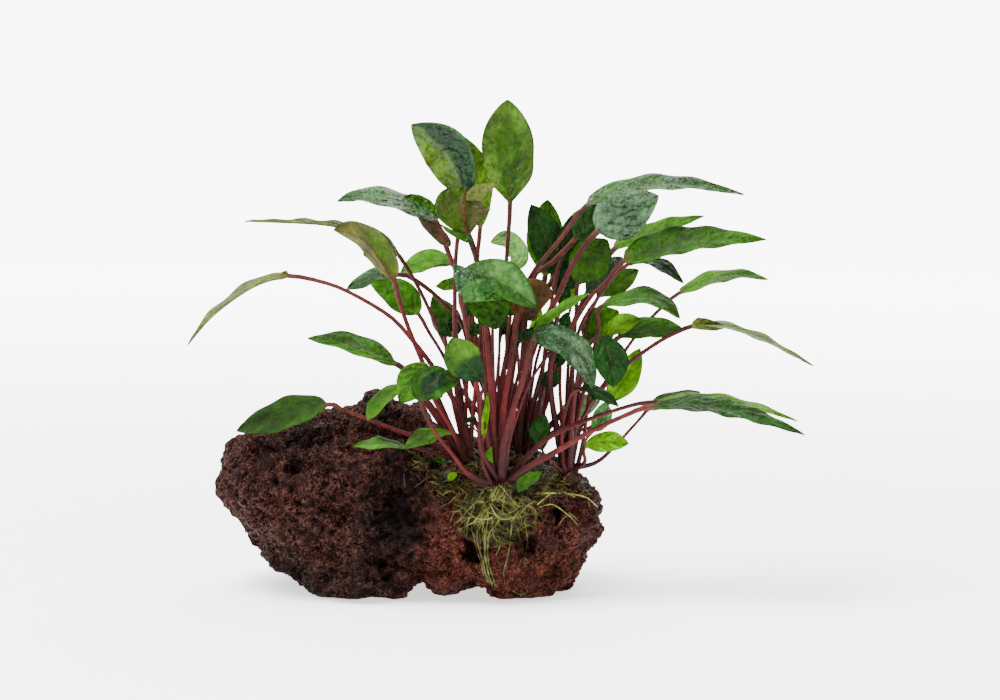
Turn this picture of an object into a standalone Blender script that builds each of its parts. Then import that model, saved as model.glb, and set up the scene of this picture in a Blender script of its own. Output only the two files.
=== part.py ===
"""Cryptocoryne on lava rock: a lump of porous lava with a bushy water plant rooted on its front shoulder.

Blender script, metres, +Z up, +X right and +Y away from the front. Places are written in millimetres as seen
from the front: across from the rock's middle, up from its lowest front edge, and depth behind its middle.
at() turns them into the object's own frame, whose origin is on the flat spot under the rock.
"""

import math

import bmesh
import bpy
import numpy as np
from mathutils import Vector, noise
from mathutils.bvhtree import BVHTree

MM = 0.001

# Front view in which the places are laid out
VIEW_DISTANCE = 1400.0
VIEW_TILT = math.radians(6.0)
VIEW_CENTRE_ACROSS = 36.0
VIEW_CENTRE_UP = 98.8
VIEW_CENTRE_Z = 96.2
ORIGIN_ACROSS = -8.0

# Rock
ROCK_CENTRE = (2.0, 34.0)
ROCK_FRONT_DEPTH = 45.0
ROCK_BACK_DEPTH = 50.0
ROCK_BLOCKINESS = 0.6
ROCK_TRIANGLES = 3150
ROCK_LUMP_SIZE = 24.0
ROCK_LUMP_HEIGHT = 3.0
ROCK_KNOB_SIZE = 9.0
ROCK_KNOB_HEIGHT = 1.8
ROCK_KNOB_OFFSET = (7, 3, 5)
ROCK_SPHERE_LEVELS = 6
ROCK_OUTLINE_STEPS = 400
ROCK_FACE_FLATNESS = 0.9
ROCK_DEPTH_WEIGHT = 1.2
# The lumps fade towards the outline, so that it stays where the photo has it
ROCK_RIM_LUMPS = 0.35
ROCK_RIM_REACH = 0.4
ROCK_OUTLINE = (
    (-58, 66), (-68, 65.5), (-73.5, 62), (-75, 57.5), (-75.5, 50.5), (-78, 48), (-78, 43), (-77, 37.5),
    (-71.5, 34), (-67, 29), (-62.5, 24), (-58.5, 18), (-56, 13), (-52, 10), (-47, 9), (-43, 5), (-39, -3),
    (-31, -6), (-22, -6), (-18, -4), (-8, -6), (-1, -4), (2, 6), (6, 6.5), (9, 0), (15, -3), (21, -1),
    (26, 4), (31, 4.5), (34, -2), (40, -7), (56, -6), (61, 1), (65, 6), (68.5, 10), (71, 18), (76.5, 25),
    (77.5, 28), (74.5, 31), (76, 36), (76, 40), (74, 43), (71, 47.5), (64, 51), (56, 57), (42, 63),
    (26, 72), (12, 79), (4, 77.5), (-3, 76.5), (-10, 81), (-13.5, 83.5), (-18, 81.5), (-19, 79), (-25, 76),
    (-34, 75),
)
# Hollows all over the rock: the size of a cell, the share of cells with a hollow, its radius and its depth
HOLLOW_CELL = 13.0
HOLLOW_SHARE = 0.75
HOLLOW_RADIUS = 6.4
HOLLOW_DEPTH = 4.2
HOLLOW_PICK = 13.7
HOLLOW_RISE = 10.0
HOLLOW_OFFSET = (0.0, 0.4, 0.7)
# Pits and hollows of the front and the sides: across, up, depth of the centre, radius, how deep
ROCK_PITS = (
    (-45, 53, -42, 7, 4), (-31, 34, -46, 6, 4), (-7, 41, -46, 7, 4), (-14, 15, -44, 6, 4),
    (24, 16, -42, 9, 5), (48, 20, -42, 6, 4), (59, 33, -34, 6, 4), (2, 2, -36, 10, 7), (29, 2, -36, 8, 5),
    (5, 55, -38, 12, 4), (-60, 40, 30, 10, 6), (-20, 50, 48, 12, 6), (25, 30, 50, 13, 7), (58, 40, 34, 9, 5),
    (-3, 67, -34, 19, 11), (9, 61, -37, 13, 9), (-40, 72, 20, 9, 5),
    (-5, 74, 24, 10, 6), (-60, 15, -18, 8, 4), (68, 12, 10, 7, 4), (-6, 36, -47, 18, 8),
    (-9, 13, -45, 15, 7),
)
# Dark holes of the front: across, up, half width, half height, how deep
ROCK_HOLES = (
    (-44.8, 52.8, 5.2, 4.6, 5.0), (-30.8, 34.0, 5.6, 3.8, 5.0), (-6.8, 41.6, 5.0, 5.6, 6.0),
    (-13.6, 15.6, 5.6, 3.8, 5.0), (24.0, 17.5, 4.6, 7.5, 7.0), (48.0, 19.6, 4.4, 3.6, 6.0),
    (59.0, 33.5, 2.8, 5.6, 5.0), (69.6, 19.6, 4.0, 3.4, 4.0), (8.0, 52.0, 8.0, 3.2, 5.0),
    (-22.0, 60.0, 6.2, 3.0, 3.5),
)
# The shoulder that carries the plant: the rock's top is held under a slope there
SHOULDER_LEFT = -2.0
SHOULDER_SOFT = 12.0
SHOULDER_FRONT_DEPTH = -42.0
SHOULDER_FRONT_HEIGHT = 38.5
SHOULDER_SLOPE = 0.36
SHOULDER_WALL = 60.0
SHOULDER_REMAINS = 0.15

# Plant
GAP = 0.4
STALK_RADIUS = 1.0
BLADE_HALF_THICKNESS = 0.42
TIP_HALF_WIDTH = 0.5
BLADE_FULLNESS = 0.74
STALK_STEPS = 4
BLADE_STEPS = 6
SMALL_BLADE_STEPS = 4
SMALL_BLADE = 26.0
FOOT_SPACING = 2.75
FOOT_ROUNDS = 400
# How far out on its crown a stalk stands: the share of the crown's radius that a flat one reaches, and how
# much a steep one stays in
FOOT_REACH = 0.9
FOOT_STEEPNESS = 0.7
FOOT_LIMIT = 0.86
FOOT_AIM_HEIGHT = 20.0

# Crowns: across, up and depth of the centre, then half width, half height
CROWNS = {
    "crown_front": (36, 41.5, -42, 8.5, 4.5),
    "crown_left": (23, 50, -27, 8, 4.5),
    "crown_middle": (44, 54, -7, 11, 5),
    "crown_right": (63, 47, -22, 8, 4.5),
}

# How many times deeper a crown reaches under its middle than over it, before the rock cuts it off
CROWN_ROOT_DEPTH = 3

# Root mat on the rock's front, row by row: up, left edge, right edge, thickness in the middle
ROOT_MAT_ROWS = (
    (38.5, 18, 54, 2.5), (36, 15, 57, 4.5), (32, 15, 57.5, 5.5), (28, 17, 55, 5.5), (24, 19.5, 50, 4.5),
    (20, 23, 45, 3.5), (16, 26, 37, 2.5), (12, 27.5, 33, 2), (8.5, 28, 32.5, 1.9), (5, 28, 32, 1.8),
)
ROOT_MAT_COLUMNS = 7
# Where the rock is felt for around a place on a root
RING_OF_PLACES = (
    (0, 0), (1, 0), (-1, 0), (0, 1), (0, -1), (0.7, 0.7), (-0.7, 0.7), (0.7, -0.7), (-0.7, -0.7),
)
ROOT_MAT_RIM = 1.0
ROOT_MAT_SPREAD = 3.5
ROOT_CLEARANCE = 1.2
# The thick root that runs right over the rock's edge: across, up
ROOT_RIGHT = ((60, 41), (65, 41.5), (70, 41), (74, 38.5), (76, 35.5))
ROOT_RIGHT_RADIUS = 1.1
ROOT_STEPS = 7


class Leaf:
    """One leaf with its stalk, as seen from the front.

    stalk and blade are (across, up) points: the stalk's run from above the crown to below the blade, the
    blade's from its base to its tip. depths are those of the blade's base, middle and tip. face is roughly
    where the upper side looks: x right, y away, z up. fold is how far each half is raised, in degrees, and
    belly is the share of the blade's length at which it is widest.
    """

    def __init__(self, crown, stalk, blade, depths, width, face, fold=12, belly=0.42, radius=STALK_RADIUS):
        self.crown = crown
        self.stalk = stalk
        self.blade = blade
        self.depths = depths
        self.width = width
        self.face = face
        self.fold = fold
        self.belly = belly
        self.radius = radius


FRONT, LEFT, MIDDLE, RIGHT = CROWNS

LEAVES = (
    # Far left, arching, seen from its edge
    Leaf(LEFT, [(22, 71), (10, 91), (-0.5, 104.5), (-9, 113), (-25.5, 122.5), (-37, 126.5)],
         [(-49, 128.5), (-59, 126.5), (-69, 121), (-80, 112), (-89, 101)], (-36, -40, -40), 19,
         (-0.6, 0.14, 0.78)),
    Leaf(LEFT, [(19, 88), (10.5, 108.5), (3.5, 123.5)],
         [(-4, 136), (-12, 145.5), (-31, 149), (-43, 150), (-66, 150.5)], (-12, -8, -6), 17, (0, 0.1, 1)),
    # Left, seen from below
    Leaf(LEFT, [(12, 77), (5, 94), (0, 106), (-4, 117.5)],
         [(-6.5, 127), (-11.5, 135.5), (-17.5, 142.5), (-24, 146), (-30.5, 147)], (-28, -30, -24), 19,
         (0.58, 0.6, 0.58), 14),
    # Low left, over the rock
    Leaf(LEFT, [(8, 61.5), (-1, 65), (-15.5, 70.5), (-27, 75)],
         [(-32.5, 77), (-50.5, 73), (-69.5, 66.5)], (-36, -32, -28), 20, (-0.1, -0.66, 0.76), 6, 0.45),
    Leaf(LEFT, [(12, 71), (6, 79.5), (-1, 88.5)],
         [(-5, 93), (-22, 101), (-41, 103.5)], (-38, -42, -44), 17, (-0.1, -0.5, 0.85), 8),
    # The two leaves that look like a heart
    Leaf(LEFT, [(17, 66), (9, 80)],
         [(7.5, 90), (2.5, 87.5), (-4, 77.5)], (-46, -50, -52), 14, (-0.2, -0.95, 0.2), 8, 0.4, 0.8),
    Leaf(FRONT, [(24.5, 48), (20.5, 51.5), (17, 57), (9.5, 66.5)],
         [(4.5, 78), (9.5, 86), (19, 86)], (-56, -58, -56), 15, (0.1, -0.85, 0.5), 8, 0.45),
    Leaf(LEFT, [(14, 66), (4, 80)],
         [(-2, 84.5), (-10.5, 80), (-17, 70.5)], (-46, -49, -52), 12, (-0.4, -0.5, 0.8), 8, 0.5, 0.7),
    Leaf(LEFT, [(12, 57), (4.5, 59)],
         [(0, 60.5), (-11.5, 61.5), (-23, 60.5)], (-46, -52, -52), 13, (0, -0.4, 0.92), 5, 0.45, 0.8),
    Leaf(LEFT, [(21, 61.5)],
         [(17.5, 65.5), (9.5, 65.5), (-1.5, 59.5)], (-44, -50, -54), 13, (-0.1, -0.45, 0.9), 5, 0.5, 0.8),
    # Top left
    Leaf(LEFT, [(18.5, 85), (18, 104), (18, 128.5), (19, 143)],
         [(21.5, 157), (19.5, 168.5), (14, 179), (0.5, 189)], (-22, -24, -30), 20,
         (-0.5, -0.85, 0.3), 18, 0.5),
    Leaf(MIDDLE, [(31, 85), (27.5, 115), (27, 135)],
         [(28, 147), (28, 158), (25.5, 172), (16.5, 187)], (-8, -4, -8), 12.5, (-0.2, -0.95, 0.2), 10, 0.5),
    Leaf(FRONT, [(31, 72), (30, 105), (27, 133)],
         [(23.5, 144.5), (21.8, 151), (21.2, 157.5), (22.5, 164)], (-36, -40, -33), 23,
         (-0.1, 0.93, 0.36), 16.5, 0.58, 1.1),
    Leaf(MIDDLE, [(28, 90), (21, 122.5), (15, 138.5)],
         [(10.5, 150), (2, 155.5), (-10, 159.5), (-20, 160.5), (-29, 158.5)], (-16, -18, -20), 19,
         (0.2, -0.42, 0.9), 8),
    # Middle front, drooping
    Leaf(FRONT, [(29, 72), (24, 100), (21, 115)],
         [(20, 121), (27, 127.5), (37, 127), (51, 115.5)], (-48, -54, -58), 18, (0.1, -0.8, 0.6), 10, 0.45),
    Leaf(FRONT, [(34, 60), (32.5, 80), (30.5, 108)],
         [(30, 124), (32, 117), (34.5, 107)], (-46, -50, -52), 17, (0, -0.98, 0.15), 12, 0.4),
    # Tall upright one at the top
    Leaf(MIDDLE, [(40, 85), (38.5, 110), (38.5, 133), (39.5, 147)],
         [(40, 157), (39.7, 169), (39, 183), (39, 199)], (-14, -12, -14), 21, (0.05, -1, 0.1), 8, 0.56),
    # Pale one at the back
    Leaf(MIDDLE, [(44, 85), (42, 110)],
         [(41, 129), (43.5, 136), (39.5, 143), (32, 142)], (24, 28, 30), 9, (0.3, -0.9, 0.3), 6, 0.5, 0.7),
    Leaf(MIDDLE, [(26, 92), (21, 109), (15, 116), (7.5, 123), (-1, 128.5)],
         [(-5, 129), (-14, 128.5), (-25.5, 123)], (4, 6, 6), 12, (-0.1, -0.5, 0.86), 6, 0.5),
    Leaf(MIDDLE, [(28, 98), (23, 122)],
         [(17.5, 132.5), (6, 134.5), (-4, 129.5)], (10, 14, 16), 12, (0, -0.7, 0.7), 6, 0.5, 0.8),
    Leaf(MIDDLE, [(20, 84), (12.5, 98), (7.5, 106)],
         [(3.5, 113), (-4.5, 121), (-16.5, 127)], (14, 16, 18), 13, (-0.3, -0.8, 0.5), 8, 0.42, 0.8),
    Leaf(MIDDLE, [(24, 88)],
         [(18.5, 104), (14.5, 111), (9, 120.5)], (12, 14, 16), 12, (-0.2, -0.95, 0.2), 8, 0.4, 0.8),
    # Small one in front
    Leaf(FRONT, [(28, 60), (28, 72), (28.5, 81)],
         [(29.5, 85.5), (22, 94), (16.5, 103.5)], (-56, -59, -58), 15, (-0.2, -0.95, 0.25), 8, 0.58, 0.8),
    # Brownish ones behind the drooping leaf
    Leaf(FRONT, [(36, 62), (38, 79), (41.5, 100)],
         [(43, 111.5), (48.5, 119), (57.5, 121.5)], (-40, -34, -28), 18, (-0.1, 0.9, 0.4), 14, 0.45, 1.1),
    Leaf(MIDDLE, [(46, 85)],
         [(48.5, 104), (50.5, 109), (52.5, 115)], (-24, -24, -24), 5, (-0.3, -0.9, 0.1), 5, 0.5, 0.6),
    # Front right, glossy
    Leaf(FRONT, [(37, 59), (41, 74.5), (45.5, 87.5)],
         [(49.5, 102.5), (59, 103), (68, 96), (73.5, 83.5)], (-50, -54, -56), 20,
         (0.45, -0.6, 0.66), 10, 0.4, 1.2),
    Leaf(RIGHT, [(65, 75), (69, 95)],
         [(75, 104), (80, 96), (81.5, 84)], (-44, -46, -48), 14, (0.2, -0.95, 0.2), 8, 0.5),
    Leaf(RIGHT, [(70, 85), (75, 105), (75.5, 109.5)],
         [(76, 116), (91, 120), (101, 118), (108, 111.5)], (-36, -38, -38), 17, (0.1, -0.42, 0.9), 8, 0.5),
    Leaf(RIGHT, [(66, 80)],
         [(71, 101), (76, 108.5), (83.5, 114.5)], (-12, -12, -12), 15, (-0.2, -0.93, 0.3), 8, 0.5, 0.8),
    Leaf(MIDDLE, [(62, 75), (72, 92)],
         [(83, 103.5), (94, 107.5), (109, 107.5)], (-2, 0, 0), 12, (-0.1, -0.75, 0.66), 8, 0.5),
    # Bright one with light through it
    Leaf(MIDDLE, [(60, 66), (71.5, 67.5), (76.5, 73)],
         [(79.5, 78), (86.5, 88), (92, 99.5)], (-2, 0, 2), 12, (-0.3, -0.9, 0.3), 6, 0.45, 0.8),
    Leaf(RIGHT, [(61, 68), (64, 80)],
         [(67.5, 83), (75, 82), (83.5, 76.5)], (-40, -42, -44), 9, (0.1, -0.6, 0.8), 8, 0.5, 0.6),
    # Top right
    Leaf(FRONT, [(36, 79), (41, 107), (47.5, 127), (60, 143)],
         [(70.5, 156.5), (83, 162.5), (100, 165.5), (117, 164.5), (133.5, 161)], (-28, -26, -26), 15,
         (0, -0.45, 0.9), 12, 0.35, 1.1),
    Leaf(FRONT, [(38.5, 62), (41.5, 76), (48, 95), (54, 111), (58.5, 119), (63.5, 130), (68.5, 138.5)],
         [(74.8, 146), (85.5, 153.5), (99.5, 160.5)], (-34, -36, -36), 20, (0.4, -0.9, 0.3), 10, 0.4, 1.1),
    Leaf(MIDDLE, [(49, 100)],
         [(54, 128), (54, 143), (55, 159)], (2, 4, 6), 15, (0, -1, 0.1), 8, 0.5),
    Leaf(MIDDLE, [(47, 90), (53, 120)],
         [(57.5, 128), (54.5, 143), (48.5, 157)], (-10, -10, -10), 14, (0.1, -0.97, 0.1), 8, 0.5),
    Leaf(MIDDLE, [(45, 95), (48.5, 125.5), (57, 134)],
         [(66, 143), (70.5, 149), (76, 156)], (-18, -18, -18), 13, (0.3, -0.9, 0.3), 8, 0.5),
    Leaf(RIGHT, [(65, 95), (66.5, 113.5)],
         [(67, 125), (71.5, 134), (79, 143)], (-18, -16, -16), 17, (0.3, -0.9, 0.3), 8, 0.5),
    Leaf(MIDDLE, [(55, 100)],
         [(58.5, 120), (60.5, 129), (62.5, 139)], (-4, -4, -4), 9, (0, -1, 0), 6, 0.5, 0.7),
    Leaf(MIDDLE, [(58, 95)],
         [(64.5, 116.5), (64.5, 121), (64, 126)], (12, 12, 12), 6, (0.1, -1, 0), 5, 0.5, 0.6),
    Leaf(MIDDLE, [(58, 90), (70, 120)],
         [(81.5, 139), (97, 146.5), (117.5, 152.5)], (10, 12, 12), 11, (0, -0.6, 0.8), 8, 0.4),
    # Long one to the right
    Leaf(RIGHT, [(56, 91), (64.5, 107.5), (72.5, 120.5), (78.5, 126)],
         [(85, 134), (98, 140), (113.5, 143), (129, 143.5), (142.5, 143)], (-30, -32, -32), 18,
         (0, -0.6, 0.8), 10, 0.35, 1.1),
    Leaf(RIGHT, [(66, 100), (76, 121)],
         [(87, 133), (99, 133.5), (109.5, 125.5)], (-22, -22, -22), 11, (0.1, -0.4, 0.9), 8, 0.5, 0.8),
    Leaf(RIGHT, [(64, 100)],
         [(71, 121), (77.5, 129), (85, 136)], (-14, -14, -14), 12, (-0.4, -0.85, 0.4), 6, 0.5, 0.8),
    Leaf(RIGHT, [(69, 100)],
         [(75, 119.5), (83, 125.5), (91.5, 131)], (-10, -8, -8), 10, (0, -0.9, 0.4), 6, 0.5, 0.8),
    Leaf(FRONT, [(39.5, 62), (43.5, 82)],
         [(49.5, 104.5), (60, 114.5), (71.5, 121.5)], (-44, -46, -44), 9, (-0.5, -0.5, 0.7), 20, 0.45, 0.8),
    Leaf(MIDDLE, [(64, 70), (76, 83), (85, 97), (93.5, 108.5), (103, 118)],
         [(107.5, 121.5), (120, 127), (132, 129), (143.5, 127)], (6, 8, 8), 14,
         (0, -0.36, 0.93), 8, 0.4, 0.8),
    Leaf(RIGHT, [(68, 67), (75, 81), (85, 91.5), (92, 97), (101, 103), (109, 107)],
         [(113.5, 108.5), (123, 109), (133, 106.5), (144, 102), (161.5, 92.5)], (-30, -32, -34), 14,
         (0.3, -0.2, 0.93), 8, 0.35),
    # Low right
    Leaf(FRONT, [(47, 51), (60, 59), (72, 66), (87, 73)],
         [(96, 76), (116, 77), (137, 72.5), (158, 65)], (-46, -48, -48), 16, (0.1, -0.42, 0.9), 8, 0.4),
    Leaf(FRONT, [(46, 54), (54, 62.5), (64, 68), (77, 73), (90, 77)],
         [(98, 78), (116, 79.5), (136, 76.5), (155, 70.5)], (-36, -32, -30), 14, (0.1, -0.3, 0.95), 8, 0.4),
    Leaf(RIGHT, [(70, 54)],
         [(70, 60), (78, 62), (87.5, 61.5)], (-34, -36, -38), 9.5, (0, -0.9, 0.4), 6, 0.5, 0.7),
    Leaf(RIGHT, [(75.5, 54), (83, 61.5), (89, 68), (93.5, 73)],
         [(95.5, 75), (105, 79), (116, 82)], (-20, -18, -18), 12, (0, -0.5, 0.86), 6, 0.45, 0.7),
)

# How far along a leaf its depth may be moved: the stalk runs from 0 to 1 and the blade from 1 to 2
DEPTH_KNOTS = (0.0, 0.25, 0.5, 0.75, 1.0, 1.5, 2.0)
LAYER_CELL = 1.0
LAYER_GAP = 0.75
LAYER_ROUNDS = 700
FOOT_WEIGHT = 30.0


def at(points):
    """World places, in metres, of points given as seen from the front: rows of across, depth, up in mm."""
    points = np.asarray(points, float).reshape(-1, 3)
    eye = np.array([
        VIEW_CENTRE_ACROSS,
        -VIEW_DISTANCE * math.cos(VIEW_TILT),
        VIEW_CENTRE_Z + VIEW_DISTANCE * math.sin(VIEW_TILT),
    ])
    centre = np.array([VIEW_CENTRE_ACROSS, 0.0, VIEW_CENTRE_Z])
    up = np.array([0.0, math.sin(VIEW_TILT), math.cos(VIEW_TILT)])
    seen = centre + np.outer(points[:, 2] - VIEW_CENTRE_UP, up)
    seen[:, 0] += points[:, 0] - VIEW_CENTRE_ACROSS
    reach = (points[:, 1] - eye[1]) / (seen[:, 1] - eye[1])
    return (eye + (seen - eye) * reach[:, None] - (ORIGIN_ACROSS, 0, 0)) * MM


def curve_through(points, steps=16):
    """A smooth line through the points, as many short steps."""
    points = np.asarray(points, float)
    padded = np.vstack([2 * points[0] - points[1], points, 2 * points[-1] - points[-2]])
    line = []
    for index in range(1, len(padded) - 2):
        before, start, end, after = padded[index - 1: index + 3]
        for step in range(steps):
            t = step / steps
            line.append(0.5 * (2 * start + (end - before) * t
                               + (2 * before - 5 * start + 4 * end - after) * t * t
                               + (3 * start - before - 3 * end + after) * t * t * t))
    line.append(points[-1])
    return np.array(line)


def even_steps(line, count):
    """count + 1 points at equal distances along a line."""
    lengths = np.concatenate([[0], np.cumsum(np.linalg.norm(np.diff(line, axis=0), axis=1))])
    wanted = np.linspace(0, lengths[-1], count + 1)
    return np.stack([np.interp(wanted, lengths, line[:, axis]) for axis in range(line.shape[1])], axis=1)


def crown_height(crown, across, depth):
    """How high the crown's skin is over a place on it."""
    centre_across, up, centre_depth, half_width, half_height = CROWNS[crown]
    share = ((across - centre_across) ** 2 + (depth - centre_depth) ** 2) / half_width ** 2
    return up + half_height * math.sqrt(max(0.0, 1 - share))


def swap_feet(members, feet, aims):
    """Swaps the feet of two stalks until no swap brings feet and aims closer, so that no two stalks meet."""
    swapped = True
    while swapped:
        swapped = False
        for one in members:
            for other in members:
                if (feet[one] - feet[other]) @ (aims[one] - aims[other]) < -1e-6:
                    feet[[one, other]] = feet[[other, one]]
                    swapped = True


def place_feet():
    """Where each stalk stands on its crown: leaning stalks near the rim, all of them FOOT_SPACING apart."""
    feet = np.zeros((len(LEAVES), 2))
    aims = np.zeros((len(LEAVES), 2))
    for crown, (across, up, depth, half_width, _) in CROWNS.items():
        members = [index for index, leaf in enumerate(LEAVES) if leaf.crown == crown]
        for order, index in enumerate(members):
            leaf = LEAVES[index]
            lean_across = leaf.stalk[0][0] - across
            lean_depth = 0.5 * (leaf.depths[0] - depth)
            rise = leaf.stalk[0][1] - up + 10
            lean = math.hypot(lean_across, lean_depth)
            out = FOOT_REACH * half_width * lean / (lean + FOOT_STEEPNESS * rise)
            feet[index] = (across + out * lean_across / (lean + 0.1) + 0.01 * order,
                           depth + out * lean_depth / (lean + 0.1) + 0.013 * order)
            share = min(1.0, FOOT_AIM_HEIGHT / rise)
            aims[index] = (across + share * lean_across, depth + share * lean_depth)
        for _ in range(FOOT_ROUNDS):
            for one in members:
                for other in members:
                    if one >= other:
                        continue
                    apart = feet[other] - feet[one]
                    distance = np.linalg.norm(apart)
                    if distance < FOOT_SPACING:
                        push = 0.5 * (FOOT_SPACING - distance) * apart / distance
                        feet[one] -= push
                        feet[other] += push
            for index in members:
                offset = feet[index] - (across, depth)
                limit = FOOT_LIMIT * half_width
                if np.linalg.norm(offset) > limit:
                    feet[index] = np.array([across, depth]) + offset * limit / np.linalg.norm(offset)
        swap_feet(members, feet, aims)
    return feet


def spine(leaf, foot, shifts, stalk_steps, blade_steps):
    """Points of the leaf's middle line as across, depth, up, with their place along it from 0 to 2."""
    foot_up = crown_height(leaf.crown, foot[0], foot[1]) + GAP + 0.5
    stalk = [(foot[0], foot_up)] + list(leaf.stalk)
    line = curve_through(stalk + list(leaf.blade))
    split = 16 * len(stalk)
    parts = []
    for piece, steps, start in ((line[:split + 1], stalk_steps, 0.0), (line[split:], blade_steps, 1.0)):
        points = even_steps(piece, steps)
        along = start + np.linspace(0, 1, steps + 1)
        parts.append((points, along))
    points = np.vstack([parts[0][0], parts[1][0][1:]])
    along = np.concatenate([parts[0][1], parts[1][1][1:]])
    base, middle, tip = leaf.depths
    depth = np.interp(along, (0, 1, 1.5, 2), (foot[1], base, middle, tip))
    depth += np.interp(along, DEPTH_KNOTS, shifts)
    return np.stack([points[:, 0], depth, points[:, 1]], axis=1), along


def half_width(leaf, along):
    """Half the blade's width at a place from 1, its base, to 2, its tip."""
    share = min(max(along - 1.0, 0.0), 1.0)
    power = math.log(0.5) / math.log(leaf.belly)
    round_part = max(0.0, math.sin(math.pi * share ** power)) ** BLADE_FULLNESS
    return 0.5 * leaf.width * round_part


def frames(points, face):
    """Unit vectors along the line, across the blade and out of its upper side, for each point."""
    along = np.gradient(points, axis=0)
    along /= np.linalg.norm(along, axis=1)[:, None]
    up = np.asarray(face, float)[None, :] - (along @ np.asarray(face, float))[:, None] * along
    up /= np.linalg.norm(up, axis=1)[:, None]
    return along, np.cross(along, up), up


def leaf_rings(leaf, foot, shifts):
    """The leaf's sections: six points each, round on the stalk and thin and wide on the blade."""
    length = np.linalg.norm(np.subtract(leaf.blade[0], leaf.blade[-1]))
    blade_steps = SMALL_BLADE_STEPS if length < SMALL_BLADE else BLADE_STEPS
    points, along = spine(leaf, foot, shifts, STALK_STEPS, blade_steps)
    _, side, up = frames(points, leaf.face)
    raise_by = math.tan(math.radians(leaf.fold))
    rings = []
    for point, place, across, out in zip(points, along, side, up):
        wide = half_width(leaf, place) if place > 1 else 0.0
        radius = leaf.radius * (1.1 - 0.25 * min(place, 1.0))
        if place >= 2:
            wide = TIP_HALF_WIDTH
            radius = 0.4
        if wide > radius:
            inner, edge = 0.4 * wide, 0.4 * raise_by * wide
            middle = -0.2 * raise_by * wide
            top, under = middle + BLADE_HALF_THICKNESS, middle - BLADE_HALF_THICKNESS
            section = [(wide, edge), (inner, top), (-inner, top),
                       (-wide, edge), (-inner, under), (inner, under)]
        else:
            section = [(radius * math.cos(math.radians(turn)), radius * math.sin(math.radians(turn)))
                       for turn in range(0, 360, 60)]
        rings.append([point + x * across + z * out for x, z in section])
    return np.array(rings), along


def layer_cells(rings, along):
    """The squares of the front view that a leaf covers, each with its nearest, furthest and mean place."""
    closed = np.concatenate([rings, rings[:, :1]], axis=1)
    samples, places = [], []
    for part in range(len(rings) - 1):
        reach = max(np.linalg.norm(closed[part + 1] - closed[part], axis=1).max(),
                    np.linalg.norm(np.diff(closed[part: part + 2], axis=1), axis=2).max())
        share = np.linspace(0, 1, int(reach / (0.8 * LAYER_CELL)) + 2)
        ring = closed[part] * (1 - share)[:, None, None] + closed[part + 1] * share[:, None, None]
        patch = (ring[:, None, :-1] * (1 - share)[None, :, None, None]
                 + ring[:, None, 1:] * share[None, :, None, None])
        samples.append(patch.reshape(-1, 3))
        places.append(np.repeat(along[part] * (1 - share) + along[part + 1] * share, patch[0].size // 3))
    samples, places = np.vstack(samples), np.concatenate(places)
    keys = np.concatenate([
        np.floor((samples[:, 0] + x) / LAYER_CELL).astype(int) * 10000
        + np.floor((samples[:, 2] + z) / LAYER_CELL).astype(int)
        for x, z in ((0, 0), (0.5, 0), (-0.5, 0), (0, 0.5), (0, -0.5))])
    depths, places = np.tile(samples[:, 1], 5), np.tile(places, 5)
    keys, inverse, counts = np.unique(keys, return_inverse=True, return_counts=True)
    low, high, total = np.full(len(keys), 1e9), np.full(len(keys), -1e9), np.zeros(len(keys))
    np.minimum.at(low, inverse, depths)
    np.maximum.at(high, inverse, depths)
    np.add.at(total, inverse, places)
    return keys, low, high, total / counts


def settle_depths(feet):
    """Depth shifts for every leaf: where two cross in the front view, one passes behind the other."""
    shifts = np.zeros((len(LEAVES), len(DEPTH_KNOTS)))
    groups = [layer_cells(*leaf_rings(leaf, foot, shifts[0])) for leaf, foot in zip(LEAVES, feet)]
    rows = []
    for one, (keys_a, low_a, high_a, place_a) in enumerate(groups):
        for other in range(one + 1, len(LEAVES)):
            keys_b, low_b, high_b, place_b = groups[other]
            shared, at_a, at_b = np.intersect1d(keys_a, keys_b, return_indices=True)
            if not len(shared):
                continue
            behind = (low_a[at_a] + high_a[at_a] - low_b[at_b] - high_b[at_b]) / 2
            weight = 1 + FOOT_WEIGHT * (np.minimum(place_a[at_a], place_b[at_b]) < 0.2)
            order = 1.0 if (behind * weight).sum() > 0 else -1.0
            rows.append(np.stack([
                np.full(len(shared), one), np.full(len(shared), other),
                low_a[at_a], high_a[at_a], place_a[at_a],
                low_b[at_b], high_b[at_b], place_b[at_b], np.full(len(shared), order)], axis=1))
    rows = np.vstack(rows)
    one, other = rows[:, 0].astype(int), rows[:, 1].astype(int)
    knots = np.array(DEPTH_KNOTS)

    def spread(places):
        left = np.clip(np.searchsorted(knots, places, side="right") - 1, 0, len(knots) - 2)
        share = (places - knots[left]) / (knots[left + 1] - knots[left])
        return left, share

    left_a, share_a = spread(rows[:, 4])
    left_b, share_b = spread(rows[:, 7])
    order = rows[:, 8]
    for _ in range(LAYER_ROUNDS):
        shift_a = shifts[one, left_a] * (1 - share_a) + shifts[one, left_a + 1] * share_a
        shift_b = shifts[other, left_b] * (1 - share_b) + shifts[other, left_b + 1] * share_b
        space = np.where(order > 0, rows[:, 2] + shift_a - rows[:, 6] - shift_b,
                         rows[:, 5] + shift_b - rows[:, 3] - shift_a)
        need = np.maximum(0, LAYER_GAP - space)
        if need.max() < 0.02:
            break
        pushes = np.zeros_like(shifts)
        counts = np.full_like(shifts, 1e-9)
        for who, left, share, sign in ((one, left_a, share_a, order), (other, left_b, share_b, -order)):
            for knot, weight in ((left, 1 - share), (left + 1, share)):
                np.add.at(pushes, (who, knot), need * weight * weight * sign)
                np.add.at(counts, (who, knot), (need > 0) * weight * weight)
        shifts += 0.55 * pushes / np.maximum(counts, 0.2)
        shifts[:, 0] = 0
        inner = shifts[:, 1:-1]
        inner += 0.02 * (shifts[:, :-2] + shifts[:, 2:] - 2 * inner)
    return shifts


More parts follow.
